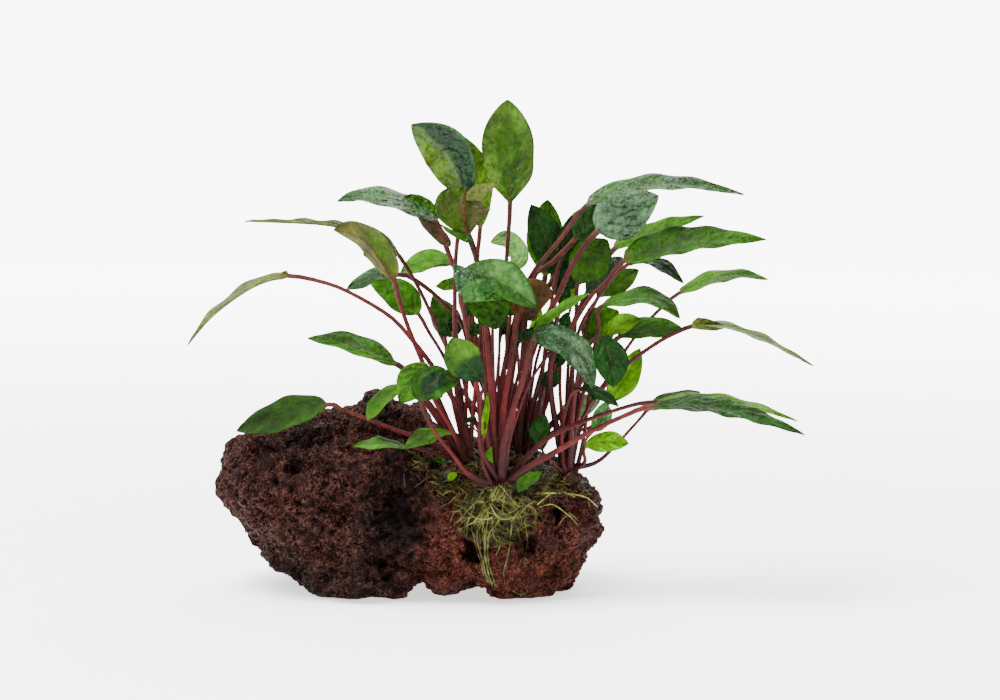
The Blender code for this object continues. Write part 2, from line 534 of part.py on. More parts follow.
def mesh_object(name, mesh, material, collection):
    obj = bpy.data.objects.new(name, mesh)
    mesh.materials.append(material)
    collection.objects.link(obj)
    return obj


def material(name, colour, roughness):
    made = bpy.data.materials.new(name)
    made.use_nodes = True
    shader = made.node_tree.nodes["Principled BSDF"]
    shader.inputs["Base Color"].default_value = (*colour, 1)
    shader.inputs["Roughness"].default_value = roughness
    shader.inputs["Metallic"].default_value = 0.0
    return made


def cut_flat(bm, height):
    """Takes away what is below a height, and closes the cut."""
    whole = bm.verts[:] + bm.edges[:] + bm.faces[:]
    cut = bmesh.ops.bisect_plane(bm, geom=whole, plane_co=(0, 0, height), plane_no=(0, 0, -1),
                                 clear_outer=True)
    rim = [item for item in cut["geom_cut"] if isinstance(item, bmesh.types.BMEdge)]
    bmesh.ops.holes_fill(bm, edges=rim, sides=0)


def keep_largest(bm):
    """Deletes the crumbs that the flat cut splits off the rock."""
    largest = []
    seen = set()
    for vert in bm.verts:
        if vert in seen:
            continue
        island = [vert]
        seen.add(vert)
        for member in island:
            for edge in member.link_edges:
                other = edge.other_vert(member)
                if other not in seen:
                    seen.add(other)
                    island.append(other)
        largest = max(largest, island, key=len)
    kept = set(largest)
    bmesh.ops.delete(bm, geom=[vert for vert in bm.verts if vert not in kept], context="VERTS")


def hollow_depth(place):
    """How deep the hollow is, in mm, that a place of the rock's skin lies in."""
    distances, centres = noise.voronoi(Vector(place) / HOLLOW_CELL + Vector(HOLLOW_OFFSET))
    reach = distances[0] * HOLLOW_CELL / HOLLOW_RADIUS
    if reach >= 1 or noise.cell(centres[0] * HOLLOW_PICK) > 2 * HOLLOW_SHARE - 1:
        return 0.0
    return HOLLOW_DEPTH * (1 - reach * reach) * min(max(place[2] / HOLLOW_RISE, 0.0), 1.0)


def make_rock(collection):
    """A sphere pulled out to the outline seen from the front, with lumps, pits and a flat underside."""
    bm = bmesh.new()
    bmesh.ops.create_icosphere(bm, subdivisions=ROCK_SPHERE_LEVELS, radius=1.0)
    centre = np.array(ROCK_CENTRE)
    outline = even_steps(np.array(ROCK_OUTLINE + ROCK_OUTLINE[:1], float), ROCK_OUTLINE_STEPS) - centre
    angles = np.arctan2(outline[:, 1], outline[:, 0])
    order = np.argsort(angles)
    radii = np.linalg.norm(outline, axis=1)[order]
    angles = angles[order]
    places = []
    for vert in bm.verts:
        x, y, z = vert.co
        turn = math.atan2(z, x)
        radius = float(np.interp(turn, angles, radii, period=2 * math.pi))
        level = math.hypot(x, z) ** ROCK_BLOCKINESS
        depth = ROCK_FRONT_DEPTH if y < 0 else ROCK_BACK_DEPTH
        place = np.array([centre[0] + radius * math.cos(turn) * level,
                          depth * math.copysign(abs(y) ** ROCK_FACE_FLATNESS, y),
                          centre[1] + radius * math.sin(turn) * level])
        away = Vector((x, y * ROCK_DEPTH_WEIGHT, z)).normalized()
        lump = noise.noise(Vector(place / ROCK_LUMP_SIZE)) * ROCK_LUMP_HEIGHT
        lump += noise.noise(Vector(place / ROCK_KNOB_SIZE) + Vector(ROCK_KNOB_OFFSET)) * ROCK_KNOB_HEIGHT
        lump *= ROCK_RIM_LUMPS + (1 - ROCK_RIM_LUMPS) * min(1.0, abs(y) / ROCK_RIM_REACH)
        place += np.array(away) * lump
        for across, up, pit_depth, size, deep in ROCK_PITS:
            reach = np.linalg.norm(place - (across, pit_depth, up)) / size
            if reach < 1:
                place -= np.array(away) * deep * (1 - reach * reach) ** 2
        place -= np.array(away) * hollow_depth(place)
        for across, up, wide, high, deep in ROCK_HOLES:
            reach = math.hypot((place[0] - across) / wide, (place[2] - up) / high)
            if reach < 1 and place[1] < 0:
                place[1] += deep * (1 - reach * reach)
        ramp = min(max((place[0] - SHOULDER_LEFT) / SHOULDER_SOFT, 0.0), 1.0)
        ceiling = SHOULDER_FRONT_HEIGHT + SHOULDER_SLOPE * max(place[1] - SHOULDER_FRONT_DEPTH, 0.0)
        ceiling += (1 - ramp) * SHOULDER_WALL
        place[2] = min(place[2], ceiling + SHOULDER_REMAINS * max(0.0, place[2] - ceiling))
        places.append(place)
    for vert, place in zip(bm.verts, at(places)):
        vert.co = place
    mesh = bpy.data.meshes.new("lava_rock")
    bm.to_mesh(mesh)
    bm.free()
    obj = mesh_object("lava_rock", mesh, material("lava", (0.09, 0.025, 0.018), 0.95), collection)
    fewer = obj.modifiers.new("fewer", "DECIMATE")
    fewer.ratio = ROCK_TRIANGLES / len(mesh.polygons)
    evaluated = obj.evaluated_get(bpy.context.evaluated_depsgraph_get())
    coarse = bpy.data.meshes.new_from_object(evaluated)
    obj.modifiers.clear()
    bm = bmesh.new()
    bm.from_mesh(coarse)
    cut_flat(bm, 0.0)
    keep_largest(bm)
    bmesh.ops.triangulate(bm, faces=bm.faces[:])
    bmesh.ops.recalc_face_normals(bm, faces=bm.faces[:])
    bm.to_mesh(obj.data)
    bm.free()
    obj.data.update()
    return obj


def rock_top(tree, across, depth, radius):
    """The highest rock under a round spot, in mm as seen."""
    best = -1e9
    for ring, count in ((0.0, 1), (0.5, 8), (1.0, 16)):
        for turn in range(count):
            angle = 2 * math.pi * turn / count
            x = across + ring * radius * math.cos(angle)
            y = depth + ring * radius * math.sin(angle)
            hit = tree.ray_cast(Vector(at((x, y, 70))[0]) + Vector((0, 0, 0.1)), Vector((0, 0, -1)))[0]
            if hit is not None:
                best = max(best, hit.z)
    return best


def make_crown(name, tree, collection, colour):
    """A low rounded rootstock, cut flat just above the rock."""
    across, up, depth, half_width, half_height = CROWNS[name]
    bm = bmesh.new()
    bmesh.ops.create_uvsphere(bm, u_segments=12, v_segments=8, radius=1.0)
    for vert in bm.verts:
        x, y, z = vert.co
        reach = half_height * (1 if z > 0 else CROWN_ROOT_DEPTH)
        vert.co = at((across + half_width * x, depth + half_width * y, up + reach * z))[0]
    floor = rock_top(tree, across, depth, half_width) + GAP * MM
    cut_flat(bm, floor)
    bmesh.ops.recalc_face_normals(bm, faces=bm.faces[:])
    mesh = bpy.data.meshes.new(name)
    bm.to_mesh(mesh)
    bm.free()
    return mesh_object(name, mesh, colour, collection)


def rock_front(tree, across, up, spread):
    """Depth of the rock's nearest point within spread of a place in the front view."""
    nearest = 1e9
    for dx, dz in RING_OF_PLACES:
        x, z = across + spread * dx, up + spread * dz
        start, end = at([(x, -120, z), (x, 0, z)])
        hit = tree.ray_cast(Vector(start), Vector(end - start))[0]
        if hit is not None:
            nearest = min(nearest, hit.y / MM)
    return nearest


def make_root_mat(tree, collection, colour):
    """A closed sheet that follows the rock's front, thicker in the middle, with a tail to the ground."""
    bm = bmesh.new()
    back, front = [], []
    for up, left, right, thickness in ROOT_MAT_ROWS:
        back_row, front_row = [], []
        for column in range(ROOT_MAT_COLUMNS + 1):
            share = column / ROOT_MAT_COLUMNS
            across = left + (right - left) * share
            depth = rock_front(tree, across, up, ROOT_MAT_SPREAD) - ROOT_CLEARANCE
            thick = ROOT_MAT_RIM + (thickness - ROOT_MAT_RIM) * (1 - (2 * share - 1) ** 2)
            places = at([(across, depth, up), (across, depth - thick, up)])
            back_row.append(bm.verts.new(places[0]))
            front_row.append(bm.verts.new(places[1]))
        back.append(back_row)
        front.append(front_row)
    for grid, turned in ((front, False), (back, True)):
        for row, following in zip(grid, grid[1:]):
            for index in range(ROOT_MAT_COLUMNS):
                face = [row[index], row[index + 1], following[index + 1], following[index]]
                bm.faces.new(face[::-1] if turned else face)
    rim = [(row, 0) for row in range(len(front))]
    rim += [(len(front) - 1, column) for column in range(1, ROOT_MAT_COLUMNS + 1)]
    rim += [(row, ROOT_MAT_COLUMNS) for row in range(len(front) - 2, -1, -1)]
    rim += [(0, column) for column in range(ROOT_MAT_COLUMNS - 1, 0, -1)]
    for (row, column), (next_row, next_column) in zip(rim, rim[1:] + rim[:1]):
        bm.faces.new((front[row][column], front[next_row][next_column],
                      back[next_row][next_column], back[row][column]))
    bmesh.ops.recalc_face_normals(bm, faces=bm.faces[:])
    mesh = bpy.data.meshes.new("root_mat")
    bm.to_mesh(mesh)
    bm.free()
    return mesh_object("root_mat", mesh, colour, collection)


def make_root(name, route, radius, tree, collection, colour):
    """One thick root along the rock's front."""
    line = even_steps(curve_through(route), ROOT_STEPS)
    places = at([(across, rock_front(tree, across, up, 2.0) - ROOT_CLEARANCE - radius, up)
                 for across, up in line])
    curve = bpy.data.curves.new(name, "CURVE")
    curve.dimensions = "3D"
    curve.bevel_depth = radius * MM
    curve.bevel_resolution = 2
    curve.use_fill_caps = True
    run = curve.splines.new("POLY")
    run.points.add(len(places) - 1)
    for point, place in zip(run.points, places):
        point.co = (*place, 1)
    return mesh_object(name, curve, colour, collection)


def make_leaf(name, rings, collection, colour):
    """A solid through the leaf's sections."""
    bm = bmesh.new()
    verts = [[bm.verts.new(place) for place in at(ring)] for ring in rings]
    for ring, following in zip(verts, verts[1:]):
        for index in range(len(ring)):
            after = (index + 1) % len(ring)
            bm.faces.new((ring[index], ring[after], following[after], following[index]))
    bm.faces.new(verts[0][::-1])
    bm.faces.new(verts[-1])
    bmesh.ops.recalc_face_normals(bm, faces=bm.faces[:])
    mesh = bpy.data.meshes.new(name)
    bm.to_mesh(mesh)
    bm.free()
    return mesh_object(name, mesh, colour, collection)


def clear_scene():
    for obj in list(bpy.data.objects):
        bpy.data.objects.remove(obj)


def main():
    clear_scene()
    collection = bpy.data.collections.new("cryptocoryne_on_lava_rock")
    bpy.context.scene.collection.children.link(collection)
    rock = make_rock(collection)
    tree = BVHTree.FromPolygons([vert.co for vert in rock.data.vertices],
                                [tuple(face.vertices) for face in rock.data.polygons])
    brown = material("crown", (0.12, 0.06, 0.03), 0.8)
    for name in CROWNS:
        make_crown(name, tree, collection, brown)
    pale = material("root", (0.3, 0.27, 0.1), 0.8)
    make_root_mat(tree, collection, pale)
    make_root("root_right", ROOT_RIGHT, ROOT_RIGHT_RADIUS, tree, collection, pale)
    green = material("leaf", (0.06, 0.2, 0.03), 0.4)
    feet = place_feet()
    shifts = settle_depths(feet)
    for number, (leaf, foot, shift) in enumerate(zip(LEAVES, feet, shifts), 1):
        rings, _ = leaf_rings(leaf, foot, shift)
        make_leaf(f"leaf_{number:02d}", rings, collection, green)


main()
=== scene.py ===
"""Cryptocoryne on lava rock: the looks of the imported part.

Places are written as in the part's source: millimetres as seen from the front, across from the rock's
middle, up from its lowest front edge, and depth behind its middle. at() turns them into the object's own
frame.
"""

import math
import random
from contextlib import contextmanager

import bmesh
import bpy
import numpy as np
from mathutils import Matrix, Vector, noise
from mathutils.bvhtree import BVHTree


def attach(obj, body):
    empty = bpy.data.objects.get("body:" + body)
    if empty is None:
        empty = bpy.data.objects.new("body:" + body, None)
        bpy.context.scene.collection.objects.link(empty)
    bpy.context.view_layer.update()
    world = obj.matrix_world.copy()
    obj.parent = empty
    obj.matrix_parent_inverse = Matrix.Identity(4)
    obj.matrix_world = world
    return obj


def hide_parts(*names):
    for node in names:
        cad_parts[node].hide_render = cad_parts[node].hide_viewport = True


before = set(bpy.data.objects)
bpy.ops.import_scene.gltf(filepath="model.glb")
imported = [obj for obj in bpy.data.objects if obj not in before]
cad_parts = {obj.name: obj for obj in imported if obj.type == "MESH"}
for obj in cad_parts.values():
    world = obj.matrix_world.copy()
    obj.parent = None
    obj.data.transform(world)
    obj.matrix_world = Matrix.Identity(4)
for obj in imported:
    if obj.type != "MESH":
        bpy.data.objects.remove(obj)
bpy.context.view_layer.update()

MM = 0.001

# Front view in which the places are laid out, which is also the camera's
VIEW_DISTANCE = 1400.0
VIEW_TILT = math.radians(6.0)
VIEW_CENTRE_ACROSS = 36.0
VIEW_CENTRE_UP = 98.8
VIEW_CENTRE_Z = 96.2
ORIGIN_ACROSS = -8.0
CAMERA_LENS = 126.0
CAMERA_SENSOR = 36.0
EYE = np.array([VIEW_CENTRE_ACROSS, -VIEW_DISTANCE * math.cos(VIEW_TILT),
                VIEW_CENTRE_Z + VIEW_DISTANCE * math.sin(VIEW_TILT)])
VIEW_UP = np.array([0.0, math.sin(VIEW_TILT), math.cos(VIEW_TILT)])

# Plant
GAP = 0.4
STALK_RADIUS = 1.0
BLADE_HALF_THICKNESS = 0.42
TIP_HALF_WIDTH = 0.5
BLADE_FULLNESS = 0.74
CURVE_STEPS = 16
STALK_STEPS = 4
BLADE_STEPS = 6
SMALL_BLADE_STEPS = 4
SMALL_BLADE = 26.0
FOOT_SPACING = 2.75
FOOT_ROUNDS = 400
# How far out on its crown a stalk stands: the share of the crown's radius that a flat one reaches, and how
# much a steep one stays in
FOOT_REACH = 0.9
FOOT_STEEPNESS = 0.7
FOOT_LIMIT = 0.86
FOOT_AIM_HEIGHT = 20.0

# Crowns: across, up and depth of the centre, then half width, half height
CROWNS = {
    "crown_front": (36, 41.5, -42, 8.5, 4.5),
    "crown_left": (23, 50, -27, 8, 4.5),
    "crown_middle": (44, 54, -7, 11, 5),
    "crown_right": (63, 47, -22, 8, 4.5),
}


class Leaf:
    """One leaf with its stalk, as seen from the front.

    stalk and blade are (across, up) points: the stalk's run from above the crown to below the blade, the
    blade's from its base to its tip. depths are those of the blade's base, middle and tip. face is roughly
    where the upper side looks: x right, y away, z up. fold is how far each half is raised, in degrees, and
    belly is the share of the blade's length at which it is widest.
    """

    def __init__(self, crown, stalk, blade, depths, width, face, fold=12, belly=0.42, radius=STALK_RADIUS):
        self.crown = crown
        self.stalk = stalk
        self.blade = blade
        self.depths = depths
        self.width = width
        self.face = face
        self.fold = fold
        self.belly = belly
        self.radius = radius


FRONT, LEFT, MIDDLE, RIGHT = CROWNS

LEAVES = (
    # Far left, arching, seen from its edge
    Leaf(LEFT, [(22, 71), (10, 91), (-0.5, 104.5), (-9, 113), (-25.5, 122.5), (-37, 126.5)],
         [(-49, 128.5), (-59, 126.5), (-69, 121), (-80, 112), (-89, 101)], (-36, -40, -40), 19,
         (-0.6, 0.14, 0.78)),
    Leaf(LEFT, [(19, 88), (10.5, 108.5), (3.5, 123.5)],
         [(-4, 136), (-12, 145.5), (-31, 149), (-43, 150), (-66, 150.5)], (-12, -8, -6), 17, (0, 0.1, 1)),
    # Left, seen from below
    Leaf(LEFT, [(12, 77), (5, 94), (0, 106), (-4, 117.5)],
         [(-6.5, 127), (-11.5, 135.5), (-17.5, 142.5), (-24, 146), (-30.5, 147)], (-28, -30, -24), 19,
         (0.58, 0.6, 0.58), 14),
    # Low left, over the rock
    Leaf(LEFT, [(8, 61.5), (-1, 65), (-15.5, 70.5), (-27, 75)],
         [(-32.5, 77), (-50.5, 73), (-69.5, 66.5)], (-36, -32, -28), 20, (-0.1, -0.66, 0.76), 6, 0.45),
    Leaf(LEFT, [(12, 71), (6, 79.5), (-1, 88.5)],
         [(-5, 93), (-22, 101), (-41, 103.5)], (-38, -42, -44), 17, (-0.1, -0.5, 0.85), 8),
    # The two leaves that look like a heart
    Leaf(LEFT, [(17, 66), (9, 80)],
         [(7.5, 90), (2.5, 87.5), (-4, 77.5)], (-46, -50, -52), 14, (-0.2, -0.95, 0.2), 8, 0.4, 0.8),
    Leaf(FRONT, [(24.5, 48), (20.5, 51.5), (17, 57), (9.5, 66.5)],
         [(4.5, 78), (9.5, 86), (19, 86)], (-56, -58, -56), 15, (0.1, -0.85, 0.5), 8, 0.45),
    Leaf(LEFT, [(14, 66), (4, 80)],
         [(-2, 84.5), (-10.5, 80), (-17, 70.5)], (-46, -49, -52), 12, (-0.4, -0.5, 0.8), 8, 0.5, 0.7),
    Leaf(LEFT, [(12, 57), (4.5, 59)],
         [(0, 60.5), (-11.5, 61.5), (-23, 60.5)], (-46, -52, -52), 13, (0, -0.4, 0.92), 5, 0.45, 0.8),
    Leaf(LEFT, [(21, 61.5)],
         [(17.5, 65.5), (9.5, 65.5), (-1.5, 59.5)], (-44, -50, -54), 13, (-0.1, -0.45, 0.9), 5, 0.5, 0.8),
    # Top left
    Leaf(LEFT, [(18.5, 85), (18, 104), (18, 128.5), (19, 143)],
         [(21.5, 157), (19.5, 168.5), (14, 179), (0.5, 189)], (-22, -24, -30), 20,
         (-0.5, -0.85, 0.3), 18, 0.5),
    Leaf(MIDDLE, [(31, 85), (27.5, 115), (27, 135)],
         [(28, 147), (28, 158), (25.5, 172), (16.5, 187)], (-8, -4, -8), 12.5, (-0.2, -0.95, 0.2), 10, 0.5),
    Leaf(FRONT, [(31, 72), (30, 105), (27, 133)],
         [(23.5, 144.5), (21.8, 151), (21.2, 157.5), (22.5, 164)], (-36, -40, -33), 23,
         (-0.1, 0.93, 0.36), 16.5, 0.58, 1.1),
    Leaf(MIDDLE, [(28, 90), (21, 122.5), (15, 138.5)],
         [(10.5, 150), (2, 155.5), (-10, 159.5), (-20, 160.5), (-29, 158.5)], (-16, -18, -20), 19,
         (0.2, -0.42, 0.9), 8),
    # Middle front, drooping
    Leaf(FRONT, [(29, 72), (24, 100), (21, 115)],
         [(20, 121), (27, 127.5), (37, 127), (51, 115.5)], (-48, -54, -58), 18, (0.1, -0.8, 0.6), 10, 0.45),
    Leaf(FRONT, [(34, 60), (32.5, 80), (30.5, 108)],
         [(30, 124), (32, 117), (34.5, 107)], (-46, -50, -52), 17, (0, -0.98, 0.15), 12, 0.4),
    # Tall upright one at the top
    Leaf(MIDDLE, [(40, 85), (38.5, 110), (38.5, 133), (39.5, 147)],
         [(40, 157), (39.7, 169), (39, 183), (39, 199)], (-14, -12, -14), 21, (0.05, -1, 0.1), 8, 0.56),
    # Pale one at the back
    Leaf(MIDDLE, [(44, 85), (42, 110)],
         [(41, 129), (43.5, 136), (39.5, 143), (32, 142)], (24, 28, 30), 9, (0.3, -0.9, 0.3), 6, 0.5, 0.7),
    Leaf(MIDDLE, [(26, 92), (21, 109), (15, 116), (7.5, 123), (-1, 128.5)],
         [(-5, 129), (-14, 128.5), (-25.5, 123)], (4, 6, 6), 12, (-0.1, -0.5, 0.86), 6, 0.5),
    Leaf(MIDDLE, [(28, 98), (23, 122)],
         [(17.5, 132.5), (6, 134.5), (-4, 129.5)], (10, 14, 16), 12, (0, -0.7, 0.7), 6, 0.5, 0.8),
    Leaf(MIDDLE, [(20, 84), (12.5, 98), (7.5, 106)],
         [(3.5, 113), (-4.5, 121), (-16.5, 127)], (14, 16, 18), 13, (-0.3, -0.8, 0.5), 8, 0.42, 0.8),
    Leaf(MIDDLE, [(24, 88)],
         [(18.5, 104), (14.5, 111), (9, 120.5)], (12, 14, 16), 12, (-0.2, -0.95, 0.2), 8, 0.4, 0.8),
    # Small one in front
    Leaf(FRONT, [(28, 60), (28, 72), (28.5, 81)],
         [(29.5, 85.5), (22, 94), (16.5, 103.5)], (-56, -59, -58), 15, (-0.2, -0.95, 0.25), 8, 0.58, 0.8),
    # Brownish ones behind the drooping leaf
    Leaf(FRONT, [(36, 62), (38, 79), (41.5, 100)],
         [(43, 111.5), (48.5, 119), (57.5, 121.5)], (-40, -34, -28), 18, (-0.1, 0.9, 0.4), 14, 0.45, 1.1),
    Leaf(MIDDLE, [(46, 85)],
         [(48.5, 104), (50.5, 109), (52.5, 115)], (-24, -24, -24), 5, (-0.3, -0.9, 0.1), 5, 0.5, 0.6),
    # Front right, glossy
    Leaf(FRONT, [(37, 59), (41, 74.5), (45.5, 87.5)],
         [(49.5, 102.5), (59, 103), (68, 96), (73.5, 83.5)], (-50, -54, -56), 20,
         (0.45, -0.6, 0.66), 10, 0.4, 1.2),
    Leaf(RIGHT, [(65, 75), (69, 95)],
         [(75, 104), (80, 96), (81.5, 84)], (-44, -46, -48), 14, (0.2, -0.95, 0.2), 8, 0.5),
    Leaf(RIGHT, [(70, 85), (75, 105), (75.5, 109.5)],
         [(76, 116), (91, 120), (101, 118), (108, 111.5)], (-36, -38, -38), 17, (0.1, -0.42, 0.9), 8, 0.5),
    Leaf(RIGHT, [(66, 80)],
         [(71, 101), (76, 108.5), (83.5, 114.5)], (-12, -12, -12), 15, (-0.2, -0.93, 0.3), 8, 0.5, 0.8),
    Leaf(MIDDLE, [(62, 75), (72, 92)],
         [(83, 103.5), (94, 107.5), (109, 107.5)], (-2, 0, 0), 12, (-0.1, -0.75, 0.66), 8, 0.5),
    # Bright one with light through it
    Leaf(MIDDLE, [(60, 66), (71.5, 67.5), (76.5, 73)],
         [(79.5, 78), (86.5, 88), (92, 99.5)], (-2, 0, 2), 12, (-0.3, -0.9, 0.3), 6, 0.45, 0.8),
    Leaf(RIGHT, [(61, 68), (64, 80)],
         [(67.5, 83), (75, 82), (83.5, 76.5)], (-40, -42, -44), 9, (0.1, -0.6, 0.8), 8, 0.5, 0.6),
    # Top right
    Leaf(FRONT, [(36, 79), (41, 107), (47.5, 127), (60, 143)],
         [(70.5, 156.5), (83, 162.5), (100, 165.5), (117, 164.5), (133.5, 161)], (-28, -26, -26), 15,
         (0, -0.45, 0.9), 12, 0.35, 1.1),
    Leaf(FRONT, [(38.5, 62), (41.5, 76), (48, 95), (54, 111), (58.5, 119), (63.5, 130), (68.5, 138.5)],
         [(74.8, 146), (85.5, 153.5), (99.5, 160.5)], (-34, -36, -36), 20, (0.4, -0.9, 0.3), 10, 0.4, 1.1),
    Leaf(MIDDLE, [(49, 100)],
         [(54, 128), (54, 143), (55, 159)], (2, 4, 6), 15, (0, -1, 0.1), 8, 0.5),
    Leaf(MIDDLE, [(47, 90), (53, 120)],
         [(57.5, 128), (54.5, 143), (48.5, 157)], (-10, -10, -10), 14, (0.1, -0.97, 0.1), 8, 0.5),
    Leaf(MIDDLE, [(45, 95), (48.5, 125.5), (57, 134)],
         [(66, 143), (70.5, 149), (76, 156)], (-18, -18, -18), 13, (0.3, -0.9, 0.3), 8, 0.5),
    Leaf(RIGHT, [(65, 95), (66.5, 113.5)],
         [(67, 125), (71.5, 134), (79, 143)], (-18, -16, -16), 17, (0.3, -0.9, 0.3), 8, 0.5),
    Leaf(MIDDLE, [(55, 100)],
         [(58.5, 120), (60.5, 129), (62.5, 139)], (-4, -4, -4), 9, (0, -1, 0), 6, 0.5, 0.7),
    Leaf(MIDDLE, [(58, 95)],
         [(64.5, 116.5), (64.5, 121), (64, 126)], (12, 12, 12), 6, (0.1, -1, 0), 5, 0.5, 0.6),
    Leaf(MIDDLE, [(58, 90), (70, 120)],
         [(81.5, 139), (97, 146.5), (117.5, 152.5)], (10, 12, 12), 11, (0, -0.6, 0.8), 8, 0.4),
    # Long one to the right
    Leaf(RIGHT, [(56, 91), (64.5, 107.5), (72.5, 120.5), (78.5, 126)],
         [(85, 134), (98, 140), (113.5, 143), (129, 143.5), (142.5, 143)], (-30, -32, -32), 18,
         (0, -0.6, 0.8), 10, 0.35, 1.1),
    Leaf(RIGHT, [(66, 100), (76, 121)],
         [(87, 133), (99, 133.5), (109.5, 125.5)], (-22, -22, -22), 11, (0.1, -0.4, 0.9), 8, 0.5, 0.8),
    Leaf(RIGHT, [(64, 100)],
         [(71, 121), (77.5, 129), (85, 136)], (-14, -14, -14), 12, (-0.4, -0.85, 0.4), 6, 0.5, 0.8),
    Leaf(RIGHT, [(69, 100)],
         [(75, 119.5), (83, 125.5), (91.5, 131)], (-10, -8, -8), 10, (0, -0.9, 0.4), 6, 0.5, 0.8),
    Leaf(FRONT, [(39.5, 62), (43.5, 82)],
         [(49.5, 104.5), (60, 114.5), (71.5, 121.5)], (-44, -46, -44), 9, (-0.5, -0.5, 0.7), 20, 0.45, 0.8),
    Leaf(MIDDLE, [(64, 70), (76, 83), (85, 97), (93.5, 108.5), (103, 118)],
         [(107.5, 121.5), (120, 127), (132, 129), (143.5, 127)], (6, 8, 8), 14,
         (0, -0.36, 0.93), 8, 0.4, 0.8),
    Leaf(RIGHT, [(68, 67), (75, 81), (85, 91.5), (92, 97), (101, 103), (109, 107)],
         [(113.5, 108.5), (123, 109), (133, 106.5), (144, 102), (161.5, 92.5)], (-30, -32, -34), 14,
         (0.3, -0.2, 0.93), 8, 0.35),
    # Low right
    Leaf(FRONT, [(47, 51), (60, 59), (72, 66), (87, 73)],
         [(96, 76), (116, 77), (137, 72.5), (158, 65)], (-46, -48, -48), 16, (0.1, -0.42, 0.9), 8, 0.4),
    Leaf(FRONT, [(46, 54), (54, 62.5), (64, 68), (77, 73), (90, 77)],
         [(98, 78), (116, 79.5), (136, 76.5), (155, 70.5)], (-36, -32, -30), 14, (0.1, -0.3, 0.95), 8, 0.4),
    Leaf(RIGHT, [(70, 54)],
         [(70, 60), (78, 62), (87.5, 61.5)], (-34, -36, -38), 9.5, (0, -0.9, 0.4), 6, 0.5, 0.7),
    Leaf(RIGHT, [(75.5, 54), (83, 61.5), (89, 68), (93.5, 73)],
         [(95.5, 75), (105, 79), (116, 82)], (-20, -18, -18), 12, (0, -0.5, 0.86), 6, 0.45, 0.7),
)

# How far along a leaf its depth may be moved: the stalk runs from 0 to 1 and the blade from 1 to 2
DEPTH_KNOTS = (0.0, 0.25, 0.5, 0.75, 1.0, 1.5, 2.0)
LAYER_CELL = 1.0
LAYER_GAP = 0.75
LAYER_ROUNDS = 700
# How much more a crossing counts on the lowest part of a stalk, and how far that part reaches
FOOT_WEIGHT = 30.0
FOOT_PART = 0.2
# Share of each push that is made in a round, how much neighbouring knots even out, and the last push
PUSH_SHARE = 0.55
EVENING = 0.02
LAST_PUSH = 0.02


def at(points):
    """World places, in metres, of points given as seen from the front: rows of across, depth, up in mm."""
    points = np.asarray(points, float).reshape(-1, 3)
    centre = np.array([VIEW_CENTRE_ACROSS, 0.0, VIEW_CENTRE_Z])
    seen = centre + np.outer(points[:, 2] - VIEW_CENTRE_UP, VIEW_UP)
    seen[:, 0] += points[:, 0] - VIEW_CENTRE_ACROSS
    reach = (points[:, 1] - EYE[1]) / (seen[:, 1] - EYE[1])
    return (EYE + (seen - EYE) * reach[:, None] - (ORIGIN_ACROSS, 0, 0)) * MM


def curve_through(points, steps=CURVE_STEPS):
    """A smooth line through the points, as many short steps."""
    points = np.asarray(points, float)
    padded = np.vstack([2 * points[0] - points[1], points, 2 * points[-1] - points[-2]])
    line = []
    for index in range(1, len(padded) - 2):
        before, start, end, after = padded[index - 1: index + 3]
        for step in range(steps):
            t = step / steps
            line.append(0.5 * (2 * start + (end - before) * t
                               + (2 * before - 5 * start + 4 * end - after) * t * t
                               + (3 * start - before - 3 * end + after) * t * t * t))
    line.append(points[-1])
    return np.array(line)


def even_steps(line, count):
    """count + 1 points at equal distances along a line."""
    lengths = np.concatenate([[0], np.cumsum(np.linalg.norm(np.diff(line, axis=0), axis=1))])
    wanted = np.linspace(0, lengths[-1], count + 1)
    return np.stack([np.interp(wanted, lengths, line[:, axis]) for axis in range(line.shape[1])], axis=1)


def crown_height(crown, across, depth):
    """How high the crown's skin is over a place on it."""
    centre_across, up, centre_depth, half_width, half_height = CROWNS[crown]
    share = ((across - centre_across) ** 2 + (depth - centre_depth) ** 2) / half_width ** 2
    return up + half_height * math.sqrt(max(0.0, 1 - share))


def swap_feet(members, feet, aims):
    """Swaps the feet of two stalks until no swap brings feet and aims closer, so that no two stalks meet."""
    swapped = True
    while swapped:
        swapped = False
        for one in members:
            for other in members:
                if (feet[one] - feet[other]) @ (aims[one] - aims[other]) < -1e-6:
                    feet[[one, other]] = feet[[other, one]]
                    swapped = True


